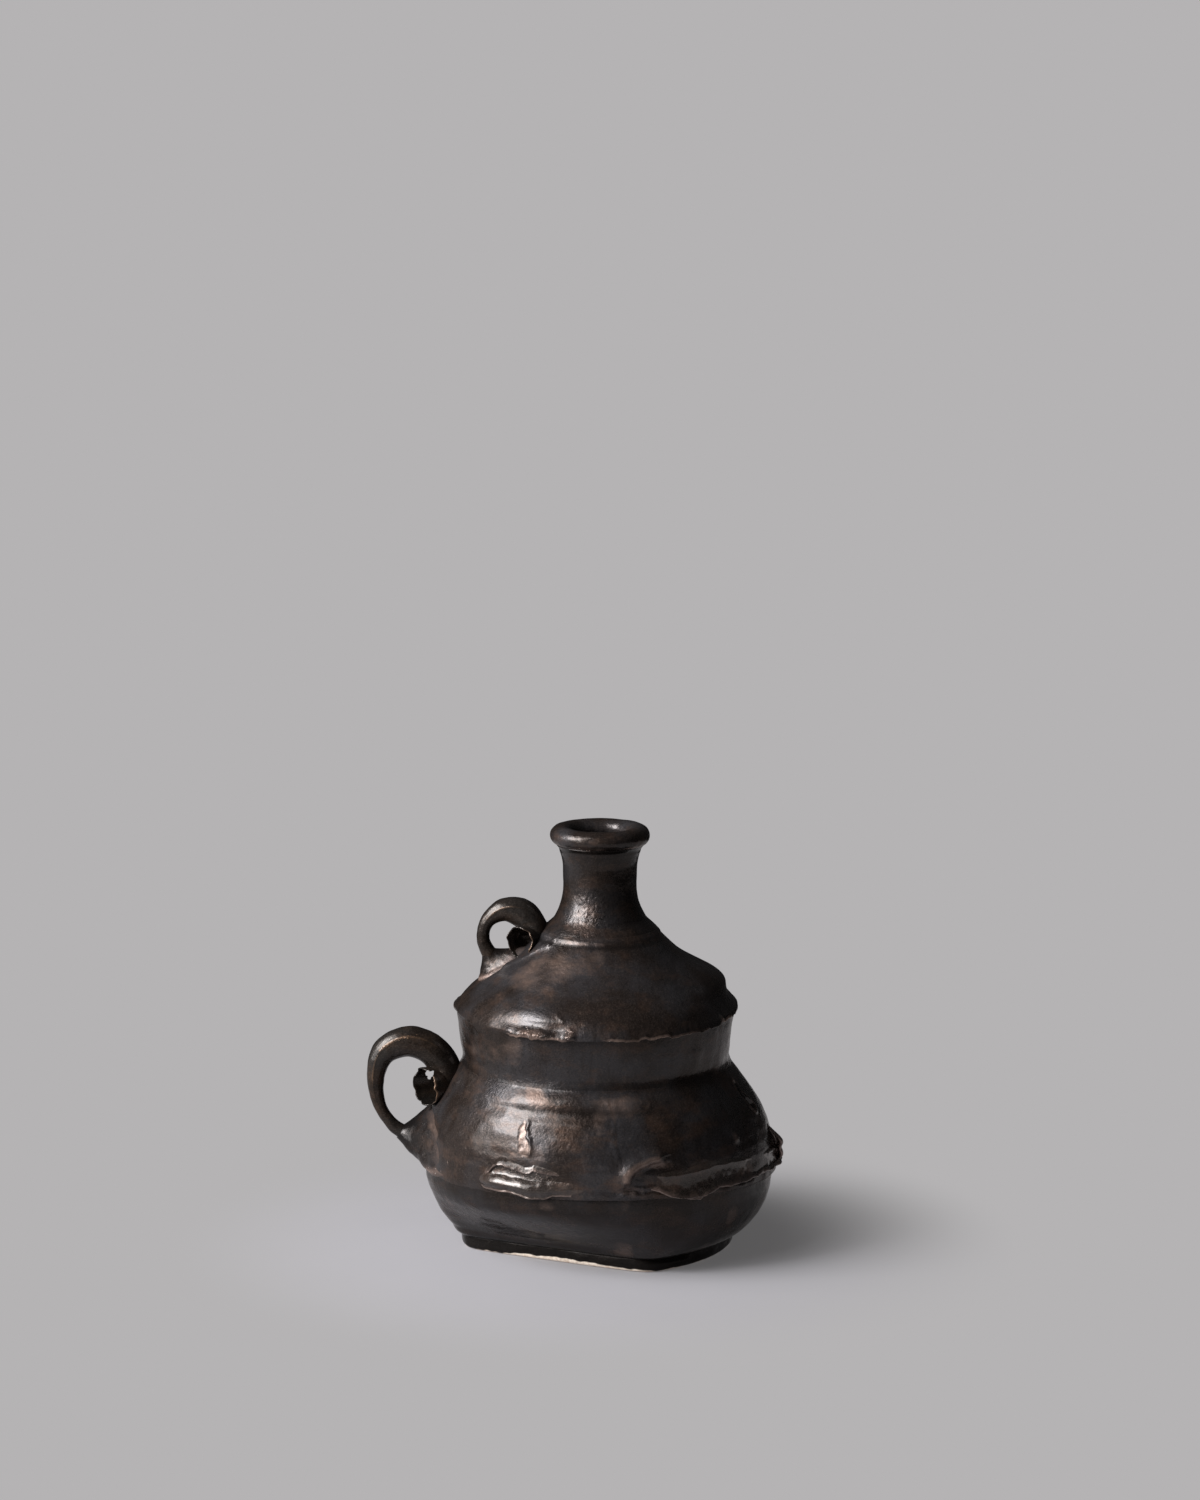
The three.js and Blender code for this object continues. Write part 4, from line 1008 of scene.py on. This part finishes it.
def smeared_root(name, path, along, grip, radius, footprint, tilt):
    """A skirt of clay from a ring round the strap, curving out to an oval smear on the wall."""
    inside = np.array([p[0] > wall_at(LEFT_SIDE, p[2])[0] for p in path])
    leaves = int(np.argmin(inside))
    held = leaves + int(grip / np.linalg.norm(path[1] - path[0]))
    phi = around(WAD_SIDES)
    across, upright = np.cos(phi), np.sin(phi)
    over = unit(np.cross(along[held], TO_FRONT))
    over *= np.sign(over[2])
    spokes = across[:, None] * TO_FRONT + upright[:, None] * over
    ring = path[held] + spokes * radius
    root = path[leaves] + spokes * radius
    forward, back, up, down = footprint
    wide = np.where(across > 0, forward, back) * np.sign(across) * np.abs(across) ** 0.75
    high = np.where(upright > 0, up, down) * np.sign(upright) * np.abs(upright) ** 0.75
    level = path[leaves][2] + high
    angle = LEFT_SIDE + np.radians((wide + tilt * high) / MM_PER_DEGREE)
    foot_edge = wall_at(angle, level)
    centre = np.array([LOBE_SHIFT, 0, 0])
    rows = [path[held] + spokes * radius * 0.6]
    fill = (0.55 + 0.3 * upright ** 2)[:, None]
    middle = (ring + foot_edge) / 2 + (ring - foot_edge) * (0.12, 0.12, 0)
    control = root * (1 - fill) + middle * fill
    for t in np.linspace(0, 1, WAD_ROWS):
        rows.append((1 - t) ** 2 * ring + 2 * t * (1 - t) * control + t * t * foot_edge)
    sunk = foot_edge - (foot_edge - centre) * (1, 1, 0) * 0.03
    rows += [sunk, path[leaves] + (sunk - path[leaves]) * 0.4]
    loops = np.array(rows)
    share_out = np.concatenate([[0], np.linspace(0, 1, WAD_ROWS), [1, 1]])[:, None]
    uneven = 0.5 * lump(loops, 4.5, 40) + 0.3 * lump(loops, 2, 41)
    outward = unit(loops - (centre + loops * (0, 0, 1)))
    edge_wave = 0.3 * lump(foot_edge, 5, 42)
    lifted = uneven * swell(share_out, 0.55, 0.5) + edge_wave * swell(share_out, 0.85, 0.15)
    loops = loops + outward * (lifted - 0.35 * share_out ** 4)[..., None]
    # Crumbled along its lower edge and browner outwards, and darker towards the strap as painted shade
    ragged = swell(share_out, 0.88, 0.1) * np.clip(-1.4 * upright - 0.4, 0, 1)
    return skin(
        name, loops, crumb=ragged, thin=0.4 * smooth(share_out, 0.35, 0.9) + 0.5 * ragged,
        rough=0.5 * swell(share_out, 0.6, 0.4), pool=0.8 * (1 - smooth(share_out, 0.2, 0.9)),
    )


def pressed_web(name, start, end, start_half, waist_half, end_half):
    """A web of clay from inside the curl to inside the wall. Half sizes are (to the front, up)."""
    share = np.linspace(0, 1, WEB_ROWS)[:, None]
    start, end, waist_half = np.array(start), np.array(end), np.array(waist_half)
    middle = start + (end - start) * share
    outer = np.where(share < 0.5, start_half, end_half)
    half = waist_half + (outer - waist_half) * (2 * share - 1) ** 2
    phi = around(WEB_SIDES)
    up = np.cross(TO_FRONT, unit(end - start))
    up *= np.sign(up[2])
    forward, upward = half[:, :1, None] * TO_FRONT, half[:, 1:, None] * up
    spokes = np.cos(phi)[:, None] * forward + np.sin(phi)[:, None] * upward
    loops = middle[:, None] + spokes
    loops = loops + spokes * (0.1 * lump(loops, 4, 43) + 0.06 * lump(loops, 1.8, 44))[..., None]
    # Darkened all over as painted shade, where it sits between the curl and the wall.
    return skin(name, loops, thin=0.2, rough=0.6, pool=0.6)


# The strips' brown, a little darker and drier
wad_glaze = bronze_glaze(
    "copper_brown_glaze_on_wads",
    dark="#2a2320", cloudy="#363334", brown="#473830", brown_share=0.9, broken="#7d6a62",
)
large_root_wad = smeared_root(
    "large_handle_root_smear", large_path, large_along, grip=10, radius=2.8,
    footprint=(31, 15, 15, 9), tilt=-0.4,
)
fire(large_root_wad, "large_handle_root_wad", wad_glaze)
crumbs(
    "large_handle_root_crumbs", large_root_wad, size=0.32, per_square_mm=0.6, seed=5,
    glaze=strip_glaze,
)
large_web = pressed_web(
    "large_handle_bridge_web", start=(-54.5, -1, 61.5), end=(-44.5, 0, 61),
    start_half=(4.5, 4.2), waist_half=(3.8, 3.4), end_half=(6.5, 6.5),
)
fire(large_web, "large_handle_bridge_wad", wad_glaze)

# Small handle
# The same horn, smaller, luted on the dome below the neck and curled in against it.
# Its mouth is open to the left, and a smear of clay runs from its curl down to its root.
small_root = wall_at(LEFT_SIDE, np.float64(97.5))
small_neck = formed(np.float64(18.6), LEFT_SIDE, np.float64(113.5))
small_points = from_wall(small_root, [(-4.7, 0, 0), (-0.4, 5.3, 0), (2.4, 11.5, 0)])
small_points += from_wall(small_neck, [
    (21, 2.3, 0), (15, 6.1, 0), (8, 4.4, 0), (5, -0.7, 0.6), (6.2, -4, 2.6), (9.8, -4, 7),
])
small_horn, small_path, small_along = curled_horn(
    "small_handle_horn", small_points, strap=2.2, fat=5.2, mouth=5.6, wall=1.3, bore=9,
    seam_from=0.3, seam_to=0.8,
)
fire(small_horn, "small_handle", horn_glaze)
small_root_wad = smeared_root(
    "small_handle_root_smear", small_path, small_along, grip=6, radius=2.6,
    footprint=(12, 6, 7, 6), tilt=0.5,
)
fire(small_root_wad, "small_handle_root_wad", wad_glaze)
crumbs(
    "small_handle_root_crumbs", small_root_wad, size=0.25, per_square_mm=0.5, seed=6,
    glaze=strip_glaze,
)
small_web = pressed_web(
    "small_handle_bridge_web", start=(-25, -0.5, 112.6), end=(-14, 0, 112.4),
    start_half=(3.6, 3.2), waist_half=(3.6, 2.7), end_half=(5, 3.4),
)
fire(small_web, "small_handle_bridge_wad", wad_glaze)

# Studio
# A sheet of pale painted board lies under the vase and goes over softly into a backdrop of the same grey.
# Two softboxes stand at the front left, a small one before a large one, and a flag of black velvet
# round the right and the back keeps that side dark. The room above is dim.
BACKDROP = "#B5B3B4"
FLOOR_SIDES = 96
FLOOR_RINGS = np.array([10, 100, 200, 300, 450, 700, 1100, 1700, 2600])[:, None]
FLOOR_TOP = -0.02
FLOOR_BOTTOM = -2
GLOW_FROM = 60
GLOW_TO = 155
FLAG_LOW = 90
FLAG_RISE = 810
FLAG_AWAY = np.array([420, 420, 430, 430])


def mottled(name, size, dark, pale, roughness):
    """A matt material of two close tones, in clouds of a size in millimetres."""
    material = bpy.data.materials.new(name)
    material.use_nodes = True
    tree = material.node_tree
    surface = tree.nodes["Principled BSDF"]
    place = node(tree, "ShaderNodeTexCoord", {}).outputs["Object"]
    clouds = node(tree, "ShaderNodeTexNoise", {"Vector": place, "Scale": 1 / (size * MM)}).outputs[0]
    tones = {0: clouds, 6: linear(dark), 7: linear(pale)}
    tone = node(tree, "ShaderNodeMix", tones, data_type="RGBA").outputs[2]
    tree.links.new(tone, surface.inputs["Base Color"])
    surface.inputs["Roughness"].default_value = roughness
    return material


floor_turn = around(FLOOR_SIDES)
floor_points = np.stack(np.broadcast_arrays(
    FLOOR_RINGS * np.cos(floor_turn), FLOOR_RINGS * np.sin(floor_turn), FLOOR_TOP
), -1)
floor_under = floor_points[::-1] * (1, 1, 0) + (0, 0, FLOOR_BOTTOM)
floor = skin("studio_floor", np.concatenate([floor_points, floor_under]))
# Rolled paint, nearly even, with a weak sheen under the foot
board = mottled("painted_board", size=30, dark="#a09ea3", pale="#a4a2a7", roughness=0.45)
board_tree = board.node_tree
board_surface = board_tree.nodes["Principled BSDF"]
board_surface.inputs["Specular IOR Level"].default_value = 0.12
# The board glows with the backdrop's grey, a fifth of its light near the vase and all of it beyond 155 mm
# out: painted light that lightens the vase's shadow and cuts it short.
board_place = node(board_tree, "ShaderNodeTexCoord", {}).outputs["Object"]
board_away = node(board_tree, "ShaderNodeVectorMath", {0: board_place}, operation="LENGTH").outputs["Value"]
board_far = node(
    board_tree, "ShaderNodeMapRange",
    {"Value": board_away, "From Min": GLOW_FROM * MM, "From Max": GLOW_TO * MM, "To Min": 0.2},
    interpolation_type="SMOOTHSTEP",
).outputs[0]
board_glow = node(board_tree, "ShaderNodeEmission", {"Color": linear(BACKDROP)}).outputs[0]
board_mix = node(
    board_tree, "ShaderNodeMixShader", {0: board_far, 1: board_surface.outputs[0], 2: board_glow}
).outputs[0]
board_tree.links.new(board_mix, board_tree.nodes["Material Output"].inputs["Surface"])
floor.data.materials.append(board)

flag_turn = np.arange(-30, 246, 5)[:, None]
flag_high = FLAG_LOW + FLAG_RISE * smooth(flag_turn, -5, 12)
flag_points = np.stack(np.broadcast_arrays(
    FLAG_AWAY * np.sin(np.radians(flag_turn)),
    -FLAG_AWAY * np.cos(np.radians(flag_turn)),
    np.array([0, 1, 1, 0]) * flag_high,
), -1)
flag = skin("studio_flag", flag_points)
flag.visible_camera = False
# Velvet swallows nearly all the light, and its nap shows as a faint cloud
velvet = mottled("black_velvet", size=20, dark="#151516", pale="#222223", roughness=0.9)
flag.data.materials.append(velvet)

world = bpy.data.worlds.new("studio_room")
world.use_nodes = True
world_tree = world.node_tree
world_way = node(world_tree, "ShaderNodeTexCoord", {}).outputs["Generated"]
world_parts = node(world_tree, "ShaderNodeSeparateXYZ", {0: world_way}).outputs["Z"]
world_high = node(
    world_tree, "ShaderNodeMapRange", {"Value": world_parts, "From Min": 0.1, "From Max": 0.45},
    interpolation_type="SMOOTHSTEP",
).outputs[0]
world_tone = node(
    world_tree, "ShaderNodeMix", {0: world_high, 6: linear(BACKDROP), 7: linear("#454446")}, data_type="RGBA"
).outputs[2]
world_tree.links.new(world_tone, world_tree.nodes["Background"].inputs["Color"])
bpy.context.scene.world = world


def softbox(name, place, aim, width, height, power):
    """A lamp behind a sheet of white cloth, turned to a point."""
    lamp = bpy.data.lights.new(name, "AREA")
    lamp.shape = "RECTANGLE"
    lamp.size = width
    lamp.size_y = height
    lamp.energy = power
    stand = bpy.data.objects.new(name, lamp)
    stand.location = place
    way = unit(np.array(aim) - np.array(place))
    stand.rotation_euler = (math.acos(-way[2]), 0, math.atan2(way[1], way[0]) - math.pi / 2)
    stand.visible_camera = False
    bpy.context.scene.collection.objects.link(stand)


LIT_POINT = (0, 0, 0.06)
softbox("key_softbox", (-1.02, -0.44, 0.72), LIT_POINT, width=1.3, height=1.3, power=23)
softbox("key_softbox_middle", (-1.0, -0.43, 0.71), LIT_POINT, width=0.65, height=0.65, power=25)

# Camera
# It stands a metre and a half from the vase, a little above it, and looks slightly down.
CAMERA_PLACE = (0, -1.5, 0.421)
LOOKS_DOWN = math.radians(9.25)
LENS_MM = 104.06
SENSOR_MM = 36
camera_data = bpy.data.cameras.new("camera")
camera_data.sensor_fit = "VERTICAL"
camera_data.sensor_height = SENSOR_MM
camera_data.lens = LENS_MM
camera = bpy.data.objects.new("camera", camera_data)
camera.location = CAMERA_PLACE
camera.rotation_euler = (math.pi / 2 - LOOKS_DOWN, 0, 0)
bpy.context.scene.collection.objects.link(camera)
bpy.context.scene.camera = camera
bpy.context.scene.view_settings.view_transform = "Standard"
